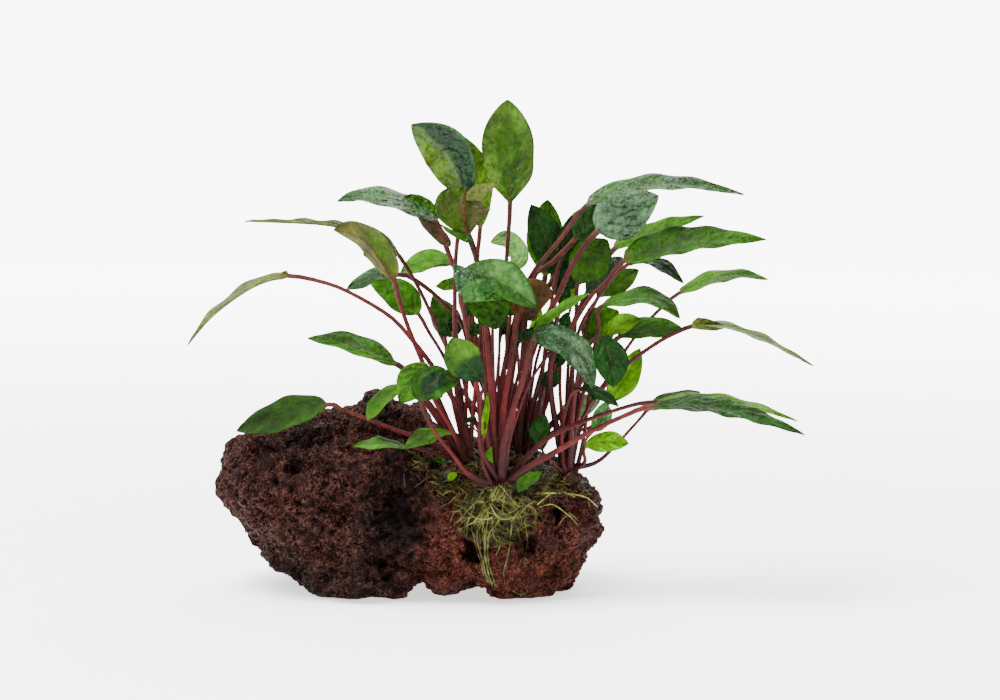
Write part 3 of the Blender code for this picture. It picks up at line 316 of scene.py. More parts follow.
def place_feet():
    """Where each stalk stands on its crown: leaning ones near the rim, all of them FOOT_SPACING apart."""
    feet = np.zeros((len(LEAVES), 2))
    aims = np.zeros((len(LEAVES), 2))
    for crown, (across, up, depth, half_width, _) in CROWNS.items():
        members = [index for index, leaf in enumerate(LEAVES) if leaf.crown == crown]
        for order, index in enumerate(members):
            leaf = LEAVES[index]
            lean_across = leaf.stalk[0][0] - across
            lean_depth = 0.5 * (leaf.depths[0] - depth)
            rise = leaf.stalk[0][1] - up + 10
            lean = math.hypot(lean_across, lean_depth)
            out = FOOT_REACH * half_width * lean / (lean + FOOT_STEEPNESS * rise)
            feet[index] = (across + out * lean_across / (lean + 0.1) + 0.01 * order,
                           depth + out * lean_depth / (lean + 0.1) + 0.013 * order)
            share = min(1.0, FOOT_AIM_HEIGHT / rise)
            aims[index] = (across + share * lean_across, depth + share * lean_depth)
        for _ in range(FOOT_ROUNDS):
            for one in members:
                for other in members:
                    if one >= other:
                        continue
                    apart = feet[other] - feet[one]
                    distance = np.linalg.norm(apart)
                    if distance < FOOT_SPACING:
                        push = 0.5 * (FOOT_SPACING - distance) * apart / distance
                        feet[one] -= push
                        feet[other] += push
            for index in members:
                offset = feet[index] - (across, depth)
                limit = FOOT_LIMIT * half_width
                if np.linalg.norm(offset) > limit:
                    feet[index] = np.array([across, depth]) + offset * limit / np.linalg.norm(offset)
        swap_feet(members, feet, aims)
    return feet


def spine(leaf, foot, shifts, stalk_steps, blade_steps):
    """Points of the leaf's middle line as across, depth, up, with their place along it from 0 to 2."""
    foot_up = crown_height(leaf.crown, foot[0], foot[1]) + GAP + 0.5
    stalk = [(foot[0], foot_up)] + list(leaf.stalk)
    line = curve_through(stalk + list(leaf.blade))
    split = CURVE_STEPS * len(stalk)
    parts = []
    for piece, steps, start in ((line[:split + 1], stalk_steps, 0.0), (line[split:], blade_steps, 1.0)):
        points = even_steps(piece, steps)
        along = start + np.linspace(0, 1, steps + 1)
        parts.append((points, along))
    points = np.vstack([parts[0][0], parts[1][0][1:]])
    along = np.concatenate([parts[0][1], parts[1][1][1:]])
    base, middle, tip = leaf.depths
    depth = np.interp(along, (0, 1, 1.5, 2), (foot[1], base, middle, tip))
    depth += np.interp(along, DEPTH_KNOTS, shifts)
    return np.stack([points[:, 0], depth, points[:, 1]], axis=1), along


def half_width(leaf, along):
    """Half the blade's width at a place from 1, its base, to 2, its tip."""
    share = min(max(along - 1.0, 0.0), 1.0)
    power = math.log(0.5) / math.log(leaf.belly)
    round_part = max(0.0, math.sin(math.pi * share ** power)) ** BLADE_FULLNESS
    return 0.5 * leaf.width * round_part


def frames(points, face):
    """Unit vectors along the line, across the blade and out of its upper side, for each point."""
    along = np.gradient(points, axis=0)
    along /= np.linalg.norm(along, axis=1)[:, None]
    up = np.asarray(face, float)[None, :] - (along @ np.asarray(face, float))[:, None] * along
    up /= np.linalg.norm(up, axis=1)[:, None]
    return along, np.cross(along, up), up


def leaf_rings(leaf, foot, shifts):
    """The leaf's sections: six points each, round on the stalk and thin and wide on the blade."""
    length = np.linalg.norm(np.subtract(leaf.blade[0], leaf.blade[-1]))
    blade_steps = SMALL_BLADE_STEPS if length < SMALL_BLADE else BLADE_STEPS
    points, along = spine(leaf, foot, shifts, STALK_STEPS, blade_steps)
    _, side, up = frames(points, leaf.face)
    raise_by = math.tan(math.radians(leaf.fold))
    rings = []
    for point, place, across, out in zip(points, along, side, up):
        wide = half_width(leaf, place) if place > 1 else 0.0
        radius = leaf.radius * (1.1 - 0.25 * min(place, 1.0))
        if place >= 2:
            wide = TIP_HALF_WIDTH
            radius = 0.4
        if wide > radius:
            inner, edge = 0.4 * wide, 0.4 * raise_by * wide
            middle = -0.2 * raise_by * wide
            top, under = middle + BLADE_HALF_THICKNESS, middle - BLADE_HALF_THICKNESS
            section = [(wide, edge), (inner, top), (-inner, top),
                       (-wide, edge), (-inner, under), (inner, under)]
        else:
            section = [(radius * math.cos(math.radians(turn)), radius * math.sin(math.radians(turn)))
                       for turn in range(0, 360, 60)]
        rings.append([point + x * across + z * out for x, z in section])
    return np.array(rings), along


def layer_cells(rings, along):
    """The squares of the front view that a leaf covers, each with its nearest, furthest and mean place."""
    closed = np.concatenate([rings, rings[:, :1]], axis=1)
    samples, places = [], []
    for part in range(len(rings) - 1):
        reach = max(np.linalg.norm(closed[part + 1] - closed[part], axis=1).max(),
                    np.linalg.norm(np.diff(closed[part: part + 2], axis=1), axis=2).max())
        share = np.linspace(0, 1, int(reach / (0.8 * LAYER_CELL)) + 2)
        ring = closed[part] * (1 - share)[:, None, None] + closed[part + 1] * share[:, None, None]
        patch = (ring[:, None, :-1] * (1 - share)[None, :, None, None]
                 + ring[:, None, 1:] * share[None, :, None, None])
        samples.append(patch.reshape(-1, 3))
        places.append(np.repeat(along[part] * (1 - share) + along[part + 1] * share, patch[0].size // 3))
    samples, places = np.vstack(samples), np.concatenate(places)
    keys = np.concatenate([
        np.floor((samples[:, 0] + x) / LAYER_CELL).astype(int) * 10000
        + np.floor((samples[:, 2] + z) / LAYER_CELL).astype(int)
        for x, z in ((0, 0), (0.5, 0), (-0.5, 0), (0, 0.5), (0, -0.5))])
    depths, places = np.tile(samples[:, 1], 5), np.tile(places, 5)
    keys, inverse, counts = np.unique(keys, return_inverse=True, return_counts=True)
    low, high, total = np.full(len(keys), 1e9), np.full(len(keys), -1e9), np.zeros(len(keys))
    np.minimum.at(low, inverse, depths)
    np.maximum.at(high, inverse, depths)
    np.add.at(total, inverse, places)
    return keys, low, high, total / counts


def settle_depths(feet):
    """Depth shifts for every leaf: where two cross in the front view, one passes behind the other."""
    shifts = np.zeros((len(LEAVES), len(DEPTH_KNOTS)))
    groups = [layer_cells(*leaf_rings(leaf, foot, shifts[0])) for leaf, foot in zip(LEAVES, feet)]
    rows = []
    for one, (keys_a, low_a, high_a, place_a) in enumerate(groups):
        for other in range(one + 1, len(LEAVES)):
            keys_b, low_b, high_b, place_b = groups[other]
            shared, at_a, at_b = np.intersect1d(keys_a, keys_b, return_indices=True)
            if not len(shared):
                continue
            behind = (low_a[at_a] + high_a[at_a] - low_b[at_b] - high_b[at_b]) / 2
            weight = 1 + FOOT_WEIGHT * (np.minimum(place_a[at_a], place_b[at_b]) < FOOT_PART)
            order = 1.0 if (behind * weight).sum() > 0 else -1.0
            rows.append(np.stack([
                np.full(len(shared), one), np.full(len(shared), other),
                low_a[at_a], high_a[at_a], place_a[at_a],
                low_b[at_b], high_b[at_b], place_b[at_b], np.full(len(shared), order)], axis=1))
    rows = np.vstack(rows)
    one, other = rows[:, 0].astype(int), rows[:, 1].astype(int)
    knots = np.array(DEPTH_KNOTS)

    def spread(places):
        left = np.clip(np.searchsorted(knots, places, side="right") - 1, 0, len(knots) - 2)
        share = (places - knots[left]) / (knots[left + 1] - knots[left])
        return left, share

    left_a, share_a = spread(rows[:, 4])
    left_b, share_b = spread(rows[:, 7])
    order = rows[:, 8]
    for _ in range(LAYER_ROUNDS):
        shift_a = shifts[one, left_a] * (1 - share_a) + shifts[one, left_a + 1] * share_a
        shift_b = shifts[other, left_b] * (1 - share_b) + shifts[other, left_b + 1] * share_b
        space = np.where(order > 0, rows[:, 2] + shift_a - rows[:, 6] - shift_b,
                         rows[:, 5] + shift_b - rows[:, 3] - shift_a)
        need = np.maximum(0, LAYER_GAP - space)
        if need.max() < LAST_PUSH:
            break
        pushes = np.zeros_like(shifts)
        counts = np.full_like(shifts, 1e-9)
        for who, left, share, sign in ((one, left_a, share_a, order), (other, left_b, share_b, -order)):
            for knot, weight in ((left, 1 - share), (left + 1, share)):
                np.add.at(pushes, (who, knot), need * weight * weight * sign)
                np.add.at(counts, (who, knot), (need > 0) * weight * weight)
        shifts += PUSH_SHARE * pushes / np.maximum(counts, 0.2)
        shifts[:, 0] = 0
        inner = shifts[:, 1:-1]
        inner += EVENING * (shifts[:, :-2] + shifts[:, 2:] - 2 * inner)
    return shifts


# Fine leaves
FINE_STALK_STEPS = 22
FINE_BLADE_STEPS = 64
FINE_ACROSS = 10
LEAF_HALF_THICKNESS = 0.2
# How far the stalks' feet draw together, and where along the stalk that ends
GATHER = 0.5
GATHER_END = 0.5
DEPTH_SMOOTHING = 5
# Puckers between the side veins: how high, and how wide across the blade
PUCKER = 0.75
PUCKER_WIDTH = 2.4
# Waves of the margin: how high, and the shortest and longest of them, in mm
RUFFLE = 0.55
WAVE_LENGTHS = (13, 18)
VEIN_SPACING = 5.5
FULL_TURN = 6.3
# Least and most of what differs by chance: a stalk's stoutness and shade, and a blade's red, green and blue
STOUTNESS = (0.8, 1.12)
STALK_SHADES = (0.6, 1.25)
BLADE_HUES = ((0.9, 1.12), (0.92, 1.08), (0.85, 1.15))
# Where a stalk is stouter, at its foot and at the blade: by how much, and how far along that reaches
FOOT_SWELLING = (0.6, 0.2)
JOINT_SWELLING = (0.35, 0.12)
# The middle rib: how far it stands out above and below, in its radii, and the groove along its top, in mm
RIB_ABOVE = 0.25
RIB_BELOW = 1.35
GROOVE = 0.3

# The studio light is strong enough to whiten the backdrop, so colours read off a picture are taken down
PAINT = 0.38
# The studio's haze takes strength from colours, and this gives it back
VIVID = 1.15


def paint(red, green, blue):
    """A surface's linear colour from the one that it has in a picture, in 0 to 255."""
    linear = [(value / 255 / 12.92) if value < 11 else ((value / 255 + 0.055) / 1.055) ** 2.4
              for value in (red, green, blue)]
    grey = sum(linear) / 3
    return tuple(PAINT * max(grey + VIVID * (value - grey), 0.15 * value) for value in linear)


STALK_LOW = paint(70, 28, 28)
STALK_MIDDLE = paint(114, 44, 44)
STALK_HIGH = paint(96, 46, 38)


class Look:
    """How a kind of leaf looks.

    top, under and rib are the colours of its upper side, underside and middle rib. quilt and wave are how
    strongly it is puckered and waved, gloss how shiny it is, cloud how much its green varies, and fuller how
    much wider it is near its base. A blot is a patch of another colour; some blots are the leaf's own colour
    and some are painted light and shade: turn and place of its middle, its half sizes and the colour.
    """

    def __init__(self, top, under, quilt=1.0, wave=1.0, rib=None, gloss=0.25, blots=(), cloud=0.6,
                 fuller=0.0):
        self.top = paint(*top)
        self.under = paint(*under)
        self.quilt = quilt
        self.wave = wave
        self.rib = paint(*rib) if rib else tuple(0.6 * value for value in self.under)
        self.gloss = gloss
        self.blots = blots
        self.cloud = cloud
        self.fuller = fuller
        self.tissue = 0 if gloss < 0.5 else 1 if quilt < 2 else 2


# Colours for blots of painted shade and painted sunlight
SHADE = (32, 78, 36)
SUN = (128, 166, 48)
GREEN = Look((70, 122, 30), (96, 136, 56), gloss=0.3)
FRESH = Look((92, 148, 36), (118, 156, 52), gloss=0.2)
DEEP = Look((38, 86, 28), (74, 104, 50), gloss=0.4)
LOW = Look((64, 106, 24), (96, 136, 56), gloss=0.25)
BROAD = Look((106, 148, 58), (118, 156, 52), quilt=1.8, rib=(120, 66, 44), gloss=0.45, cloud=0.5,
             fuller=0.32, blots=((0.0, 0.45, 0.45, 0.42, (76, 118, 36)),))
GREY = Look((70, 122, 50), (100, 128, 74), quilt=1.4, gloss=0.8)
TIPPED = Look((70, 122, 50), (100, 128, 74), quilt=1.4, gloss=0.8,
              blots=((0.0, 0.95, 1.4, 0.22, (46, 108, 34)),))
# Blistered leaf whose top is painted light grey-green as a painted sheen
BLISTERED_PAINTED_SHEEN = Look((128, 178, 126), (110, 140, 84), quilt=2.0, gloss=0.9)
SPRING = Look((120, 172, 44), (140, 176, 60), quilt=0.8, gloss=0.3)
LIT = Look((158, 224, 30), (158, 214, 40), quilt=0.6, gloss=0.1, cloud=0.3)
HAZY = Look((150, 202, 150), (150, 196, 140), quilt=0.5, gloss=0.1)
PALE = Look((140, 168, 92), (176, 186, 122), quilt=0.5, gloss=0.1)
MILKY = Look((150, 196, 124), (166, 204, 140), quilt=0.5, gloss=0.1)
# Its two pale grey-green blots are painted highlights
DARK_GLOSS = Look((54, 108, 46), (84, 120, 62), quilt=1.6, gloss=0.85,
                  blots=((0.35, 0.74, 0.45, 0.2, (134, 168, 122)), (-0.45, 0.5, 0.25, 0.3, (120, 156, 110)),
                         (0.1, 0.9, 0.3, 0.1, (60, 120, 56))))
LONG = Look((156, 200, 116), (156, 180, 112), rib=(110, 52, 40), gloss=0.3)
SHEEN = Look((64, 104, 62), (90, 120, 74), quilt=1.6, gloss=0.75)
DARK_LONG = Look((56, 106, 42), (84, 120, 62), quilt=1.4, gloss=0.45)
OLIVE = Look((86, 118, 52), (128, 136, 72), rib=(136, 66, 56), gloss=0.1,
             blots=((-0.45, 0.35, 0.4, 0.3, (96, 134, 44)),))
CUP = Look((90, 132, 38), (70, 100, 24), rib=(110, 48, 40), gloss=0.35,
           blots=((0.0, 0.3, 0.1, 1.0, (112, 50, 40)), (-0.62, 0.3, 0.34, 0.8, (116, 114, 70))))
# Its pale blot is a painted highlight and its dark blot is painted shade on the lower face of the fold
FOLDED = Look((66, 124, 44), (96, 136, 56), quilt=1.4, gloss=0.45,
              blots=((-0.4, 0.6, 0.5, 0.36, (110, 164, 86)), (0.5, 0.25, 0.5, 0.3, (48, 100, 38))))
BROWN = Look((80, 92, 44), (116, 80, 44), rib=(120, 54, 40), gloss=0.1)
# One half in painted sunlight, the other in painted shade, with a painted highlight along the middle rib and
# a painted sheen at the tip
HALVES = Look((72, 128, 52), (96, 130, 62), quilt=1.0, gloss=0.5,
              blots=((-0.8, 0.45, 0.5, 1.2, SUN), (0.45, 0.5, 0.42, 1.2, SHADE),
                     (-0.12, 0.3, 0.1, 0.9, (112, 146, 84)), (-0.5, 0.94, 0.8, 0.16, (112, 152, 78))))
# Its dark middle is a painted shadow
HEART = Look((66, 122, 30), (96, 130, 62), blots=((0.0, 0.5, 0.55, 0.36, SHADE),))
# Its lower lobe is darkened with painted shade
TWO_LOBES = Look((92, 142, 46), (96, 130, 62), blots=((0.0, 0.2, 1.4, 0.34, (40, 82, 38)),))
YELLOWED = Look((116, 150, 48), (120, 146, 54), gloss=0.2)

# The looks of leaf_01 to leaf_52
LOOKS = (
    PALE, OLIVE, OLIVE, LOW, GREEN, FRESH, HEART, FRESH, FRESH, FRESH,
    HALVES, YELLOWED, CUP, TIPPED, FOLDED, GREEN, BROAD, MILKY, GREY, FRESH,
    FRESH, GREEN, TWO_LOBES, BROWN, LIT, DARK_GLOSS, DEEP, GREEN, FRESH, GREEN,
    LIT, DEEP, GREY, BLISTERED_PAINTED_SHEEN, FRESH, DEEP, DEEP, GREEN, DEEP, LIT,
    FRESH, GREEN, DEEP, SHEEN, FRESH, FRESH, FRESH, LONG, DARK_LONG, SPRING,
    LIT, GREEN,
)


class Growth:
    """What differs by chance from leaf to leaf."""

    def __init__(self, rng, length):
        self.phases = rng.uniform(0, FULL_TURN), rng.uniform(0, FULL_TURN)
        self.waves = length / rng.uniform(*WAVE_LENGTHS)
        self.stoutness = rng.uniform(*STOUTNESS)
        self.hue = [rng.uniform(*limits) for limits in BLADE_HUES]
        self.stalk_shade = rng.uniform(*STALK_SHADES)
        self.veins = max(5, round(length / VEIN_SPACING))


def smooth_line(values, width):
    """The values averaged over a few neighbours, with both ends kept."""
    kernel = np.ones(2 * width + 1) / (2 * width + 1)
    before = 2 * values[0] - values[width:0:-1]
    after = 2 * values[-1] - values[-2:-width - 2:-1]
    return np.convolve(np.concatenate([before, values, after]), kernel, mode="valid")


def blend_step(low, high, value):
    share = min(max((value - low) / (high - low), 0.0), 1.0)
    return share * share * (3 - 2 * share)


def blend(first, second, share):
    """A colour between two others."""
    return [low + (high - low) * share for low, high in zip(first, second)]


def stalk_radius(leaf, growth, place):
    """Radius of the stalk, from 0 to 1 along the leaf, and of the middle rib, from 1 to 2."""
    radius = leaf.radius * growth.stoutness * (1.12 - 0.32 * min(place, 1.0) - 0.6 * max(0.0, place - 1))
    radius += FOOT_SWELLING[0] * leaf.radius * math.exp(-place / FOOT_SWELLING[1])
    return radius * (1 + JOINT_SWELLING[0] * math.exp(-((place - 1) / JOINT_SWELLING[1]) ** 2))


def stalk_tint(growth, place):
    colour = blend(STALK_LOW, STALK_MIDDLE, blend_step(0.05, 0.5, place))
    colour = blend(colour, STALK_HIGH, blend_step(0.5, 1.0, place))
    return [growth.stalk_shade * value for value in colour]


def sheet_height(leaf, look, growth, turn, blade, wide, vein):
    """How far the blade is raised by its fold, waves and puckers, at a turn from edge to edge, -1 to 1."""
    edge = abs(turn)
    fold = 0.6 * math.tan(math.radians(leaf.fold)) * wide * (math.sqrt(edge * edge + 0.01) - 0.36)
    swing = math.sin(growth.waves * 2 * math.pi * blade + growth.phases[turn > 0])
    ruffle = (look.wave * RUFFLE * edge ** 2.5 * min(1.0, wide / 4) * swing
              * math.sin(math.pi * min(1.0, blade * 1.05)))
    spot = Vector((turn * wide / PUCKER_WIDTH, vein * 1.3, 9 * growth.phases[0]))
    pucker = look.quilt * PUCKER * math.sin(math.pi * min(1.0, edge * 1.05)) * noise.noise(spot)
    return fold + ruffle + pucker


def sheet_tint(look, growth, turn, face, blade, vein, rib):
    """The blade's colour, with its clouds, its middle rib and its blots, some of them painted light and
    shade.
    """
    sheet = look.top if face > 0 else look.under
    cloud = noise.noise(Vector((0.9 * turn, 0.35 * vein, 5 + 9 * growth.phases[1])))
    shade = (0.86 + 0.22 * abs(turn)) * (1 + look.cloud * cloud)
    sheet = [value * share * shade for value, share in zip(sheet, growth.hue)]
    sheet = blend(sheet, look.rib, rib * (0.35 if face > 0 else 0.9) * (1 - 0.6 * blade))
    for blot_turn, blot_place, half_turn, half_place, colour in look.blots:
        reach = math.hypot((turn - blot_turn) / half_turn, (blade - blot_place) / half_place)
        sheet = blend(sheet, paint(*colour), blend_step(1.15, 0.85, reach))
    return sheet


def fine_leaf(leaf, foot, shifts, look, rng):
    """Places, points around, rings, tints and (across, along, side) marks of one leaf in full detail."""
    points, along = spine(leaf, foot, shifts, FINE_STALK_STEPS, FINE_BLADE_STEPS)
    points[:, 1] = smooth_line(points[:, 1], DEPTH_SMOOTHING)
    crown_across, _, crown_depth, _, _ = CROWNS[leaf.crown]
    gather = GATHER * np.clip(1 - along / GATHER_END, 0, 1) ** 2
    points[:, 0] += gather * (crown_across - points[0, 0])
    points[:, 1] += gather * (crown_depth - points[0, 1])
    _, side, up = frames(points, leaf.face)
    growth = Growth(rng, np.linalg.norm(np.diff(points[FINE_STALK_STEPS:], axis=0), axis=1).sum())
    turns = np.linspace(-1, 1, 2 * FINE_ACROSS + 1)
    rows = [(turn, 1) for turn in turns] + [(turn, -1) for turn in turns[-2:0:-1]]
    places, tints, marks = [], [], []
    for point, place, across, out in zip(points, along, side, up):
        blade = max(0.0, place - 1)
        radius = stalk_radius(leaf, growth, place)
        wide = max(half_width(leaf, place), TIP_HALF_WIDTH * 0.3) if place > 1 else 0.0
        wide *= 1 + look.fuller * math.exp(-((blade - 0.2) / 0.16) ** 2)
        wide = max(wide, radius * 0.6)
        stalk = stalk_tint(growth, place)
        flat = blend_step(1.0, 1.05, place)
        leafy = blend_step(0.98, 1.1, place)
        for turn, face in rows:
            edge = abs(turn)
            vein = (blade - 0.24 * edge ** 1.3) * growth.veins
            rib = max(0.0, 1 - edge * wide / (1.1 * radius))
            bulge = (RIB_ABOVE if face > 0 else RIB_BELOW) * radius * rib
            groove = GROOVE * math.exp(-(edge * wide / 0.7) ** 2) if face > 0 else 0.0
            flat_z = (sheet_height(leaf, look, growth, turn, blade, wide, vein)
                      + face * (LEAF_HALF_THICKNESS * (1 - 0.7 * edge ** 4) + bulge) - groove)
            round_x = radius * math.sin(0.5 * math.pi * turn)
            round_z = radius * math.cos(0.5 * math.pi * turn) * face
            x = round_x + flat * (wide * turn - round_x)
            z = round_z + flat * (flat_z - round_z)
            places.append(point + x * across + z * out)
            sheet = sheet_tint(look, growth, turn, face, blade, vein, rib)
            tints.append(blend(stalk, sheet, leafy) + [look.gloss * leafy])
            marks.append((turn, blade * growth.veins, face * leafy))
    return places, len(rows), len(along), tints, marks


@contextmanager
def edited(mesh):
    """The mesh, open for bmesh operations."""
    bm = bmesh.new()
    bm.from_mesh(mesh)
    yield bm
    bm.to_mesh(mesh)
    bm.free()


def add_object(name, data):
    made = bpy.data.objects.new(name, data)
    bpy.context.scene.collection.objects.link(made)
    return made


def ring_faces(start, around, rings):
    """The faces of a closed tube whose rings of points are numbered from start."""
    faces = []
    for low in range(start, start + (rings - 1) * around, around):
        for side in range(around):
            after = (side + 1) % around
            faces.append((low + side, low + after, low + around + after, low + around + side))
    end = start + (rings - 1) * around
    return faces + [tuple(range(start + around - 1, start - 1, -1)), tuple(range(end, end + around))]


def mark_points(mesh, tints, marks):
    """Keeps colours and marks as attributes of the points."""
    layer = mesh.attributes.new("tint", "FLOAT_COLOR", "POINT")
    layer.data.foreach_set("color", np.asarray(tints, np.float32).ravel())
    if marks is not None:
        layer = mesh.attributes.new("marks", "FLOAT_VECTOR", "POINT")
        layer.data.foreach_set("vector", np.asarray(marks, np.float32).ravel())


def add_mesh(name, places, faces, materials, tints, marks=None):
    """A smooth object from world places in metres."""
    mesh = bpy.data.meshes.new(name)
    mesh.from_pydata([tuple(place) for place in places], [], faces)
    mesh.shade_smooth()
    mark_points(mesh, tints, marks)
    for material in materials:
        mesh.materials.append(material)
    with edited(mesh) as bm:
        bmesh.ops.recalc_face_normals(bm, faces=bm.faces[:])
    return add_object(name, mesh)


def make_leaf(name, tissues, leaf, foot, shifts, look, rng):
    places, around, rings, tints, marks = fine_leaf(leaf, foot, shifts, look, rng)
    materials = tissues[look.tissue], tissues[0]
    made = add_mesh(name, at(places), ring_faces(0, around, rings), materials, tints, marks)
    for polygon in made.data.polygons[:FINE_STALK_STEPS * around]:
        polygon.material_index = 1
    return made


class Nodes:
    """Short calls for building a material's nodes."""

    def __init__(self, name):
        self.material = bpy.data.materials.new(name)
        self.material.use_nodes = True
        self.tree = self.material.node_tree
        self.shader = self.tree.nodes["Principled BSDF"]

    def put(self, socket, value):
        if isinstance(value, bpy.types.NodeSocket):
            self.tree.links.new(value, socket)
        else:
            socket.default_value = value

    def node(self, kind, *values, named=None, **settings):
        """A new node with its first inputs and its named ones set or linked."""
        node = self.tree.nodes.new("ShaderNode" + kind)
        for name, setting in settings.items():
            setattr(node, name, setting)
        for key, value in {**dict(enumerate(values)), **(named or {})}.items():
            self.put(node.inputs[key], value)
        return node

    def math(self, operation, *values):
        return self.node("Math", *values, operation=operation).outputs[0]

    def chained(self, operation, result, *others):
        for other in others:
            result = self.math(operation, result, other)
        return result

    def times(self, *values):
        return self.chained("MULTIPLY", *values)

    def plus(self, *values):
        return self.chained("ADD", *values)

    def attribute(self, name, output):
        return self.node("Attribute", attribute_name=name).outputs[output]

    def split(self, vector):
        return self.node("SeparateXYZ", vector).outputs

    def object_place(self):
        return self.node("TexCoord").outputs["Object"]

    def noise(self, vector, scale, detail=3.0, roughness=0.55):
        inputs = {"Scale": scale, "Detail": detail, "Roughness": roughness}
        return self.node("TexNoise", vector, named=inputs).outputs["Fac"]

    def cells(self, vector, scale, feature="F1"):
        return self.node("TexVoronoi", vector, named={"Scale": scale}, feature=feature).outputs["Distance"]

    def ramp(self, value, low, high, to_low=0.0, to_high=1.0):
        """to_low up to low and to_high from high on, with a smooth step between."""
        node = self.node("MapRange", value, low, high, to_low, to_high, interpolation_type="SMOOTHSTEP")
        return node.outputs[0]

    def mix(self, share, first, second, blend_type="MIX"):
        inputs = {0: share, 6: first, 7: second}
        return self.node("Mix", named=inputs, data_type="RGBA", blend_type=blend_type).outputs[2]

    def layered(self, colour, *layers):
        """The colour under others, each given as its share and as it is in a picture."""
        for share, shade in layers:
            colour = self.mix(share, colour, (*paint(*shade), 1))
        return colour

    def scaled(self, colour, share):
        return self.node("VectorMath", colour, named={"Scale": share}, operation="SCALE").outputs[0]

    def bent(self, vector, amount, reach):
        """The vector moved by an amount of reach, the same way along all three axes."""
        return self.node("VectorMath", vector, self.times(amount, reach), operation="ADD").outputs[0]

    def bump(self, height, strength, distance):
        inputs = {"Strength": strength, "Distance": distance, "Height": height}
        return self.node("Bump", named=inputs).outputs[0]

    def surface(self, inputs):
        """The material, with its shader's inputs set or linked by name."""
        for name, value in inputs.items():
            self.put(self.shader.inputs[name], value)
        return self.material


def leaf_material(name, specular, blister_and_painted_shade):
    """Green tissue with faint veins, wrinkles and blisters, the blisters painted lighter on top and darker
    between as painted highlight and shade, light coming through it; red-brown stalks.
    """
    n = Nodes(name)
    across, along, side = n.split(n.attribute("marks", "Vector"))
    tint = n.attribute("tint", "Color")
    gloss = n.attribute("tint", "Alpha")
    place = n.object_place()
    edge = n.math("ABSOLUTE", across)
    sheet = n.math("ABSOLUTE", side)
    below = n.math("MAXIMUM", n.times(side, -1.0), 0.0)
    drift = n.noise(place, 170.0)
    lag = n.times(n.math("POWER", edge, 1.3), 2.0)
    ridge = n.math("PINGPONG", n.plus(n.math("SUBTRACT", along, lag), n.times(drift, 1.1)), 0.5)
    vein = n.times(n.ramp(ridge, 0.0, 0.12, 1.0, 0.0), sheet)
    lengthwise = n.math("PINGPONG", n.times(n.math("POWER", edge, 0.8), 3.0), 0.5)
    long_vein = n.ramp(lengthwise, 0.0, 0.1, 1.0, 0.0)
    rib = n.times(n.ramp(edge, 0.02, 0.1, 1.0, 0.0), sheet)
    patch = n.noise(place, 110.0, 4.0, 0.6)
    blotch = n.noise(place, 330.0, 3.0, 0.6)
    grain = n.noise(place, 1100.0, 3.0, 0.6)
    wrinkle = n.noise(n.bent(place, drift, 0.004), 330.0, 2.0, 0.5)
    pillow = n.cells(n.bent(place, blotch, 0.003), 560.0, "SMOOTH_F1")
    # Tone by patch, grain and blotch at random; the pillow term paints blister tops lighter and the dips
    # between darker, as painted highlight and painted shade
    shade = n.times(n.ramp(patch, 0.3, 0.7, 0.62, 1.34), n.ramp(grain, 0.25, 0.75, 0.82, 1.18),
                    n.ramp(blotch, 0.3, 0.7, 0.8, 1.2),
                    n.ramp(pillow, 0.1, 0.6, 1 + 0.1 * blister_and_painted_shade, 1 - 0.14 * blister_and_painted_shade))
    colour = n.layered(n.scaled(tint, shade), (n.times(vein, 0.1), (110, 150, 60)),
                       (n.times(long_vein, below, 0.4), (124, 62, 50)), (n.times(rib, 0.3), (88, 90, 46)))
    swollen = n.times(pillow, -0.9 * blister_and_painted_shade)
    height = n.plus(n.times(n.plus(n.times(ridge, 0.6), swollen), sheet), n.times(wrinkle, gloss, 3.0),
                    n.plus(n.times(patch, 0.9), n.times(grain, 0.06)))
    n.surface({"Base Color": colour, "Normal": n.bump(height, 0.9, 0.0011), "Specular IOR Level": specular,
               "Roughness": n.plus(n.ramp(gloss, 0.0, 1.0, 0.5, 0.2), n.times(patch, 0.12))})
    yellowed = n.scaled(n.mix(1.0, colour, (0.95, 1.0, 0.25, 1), "MULTIPLY"), 1.9)
    through = n.node("BsdfTranslucent", named={"Color": yellowed})
    both = n.node("MixShader", n.times(sheet, 0.38), n.shader.outputs[0], through.outputs[0])
    n.put(n.tree.nodes["Material Output"].inputs["Surface"], both.outputs[0])
    return n.material


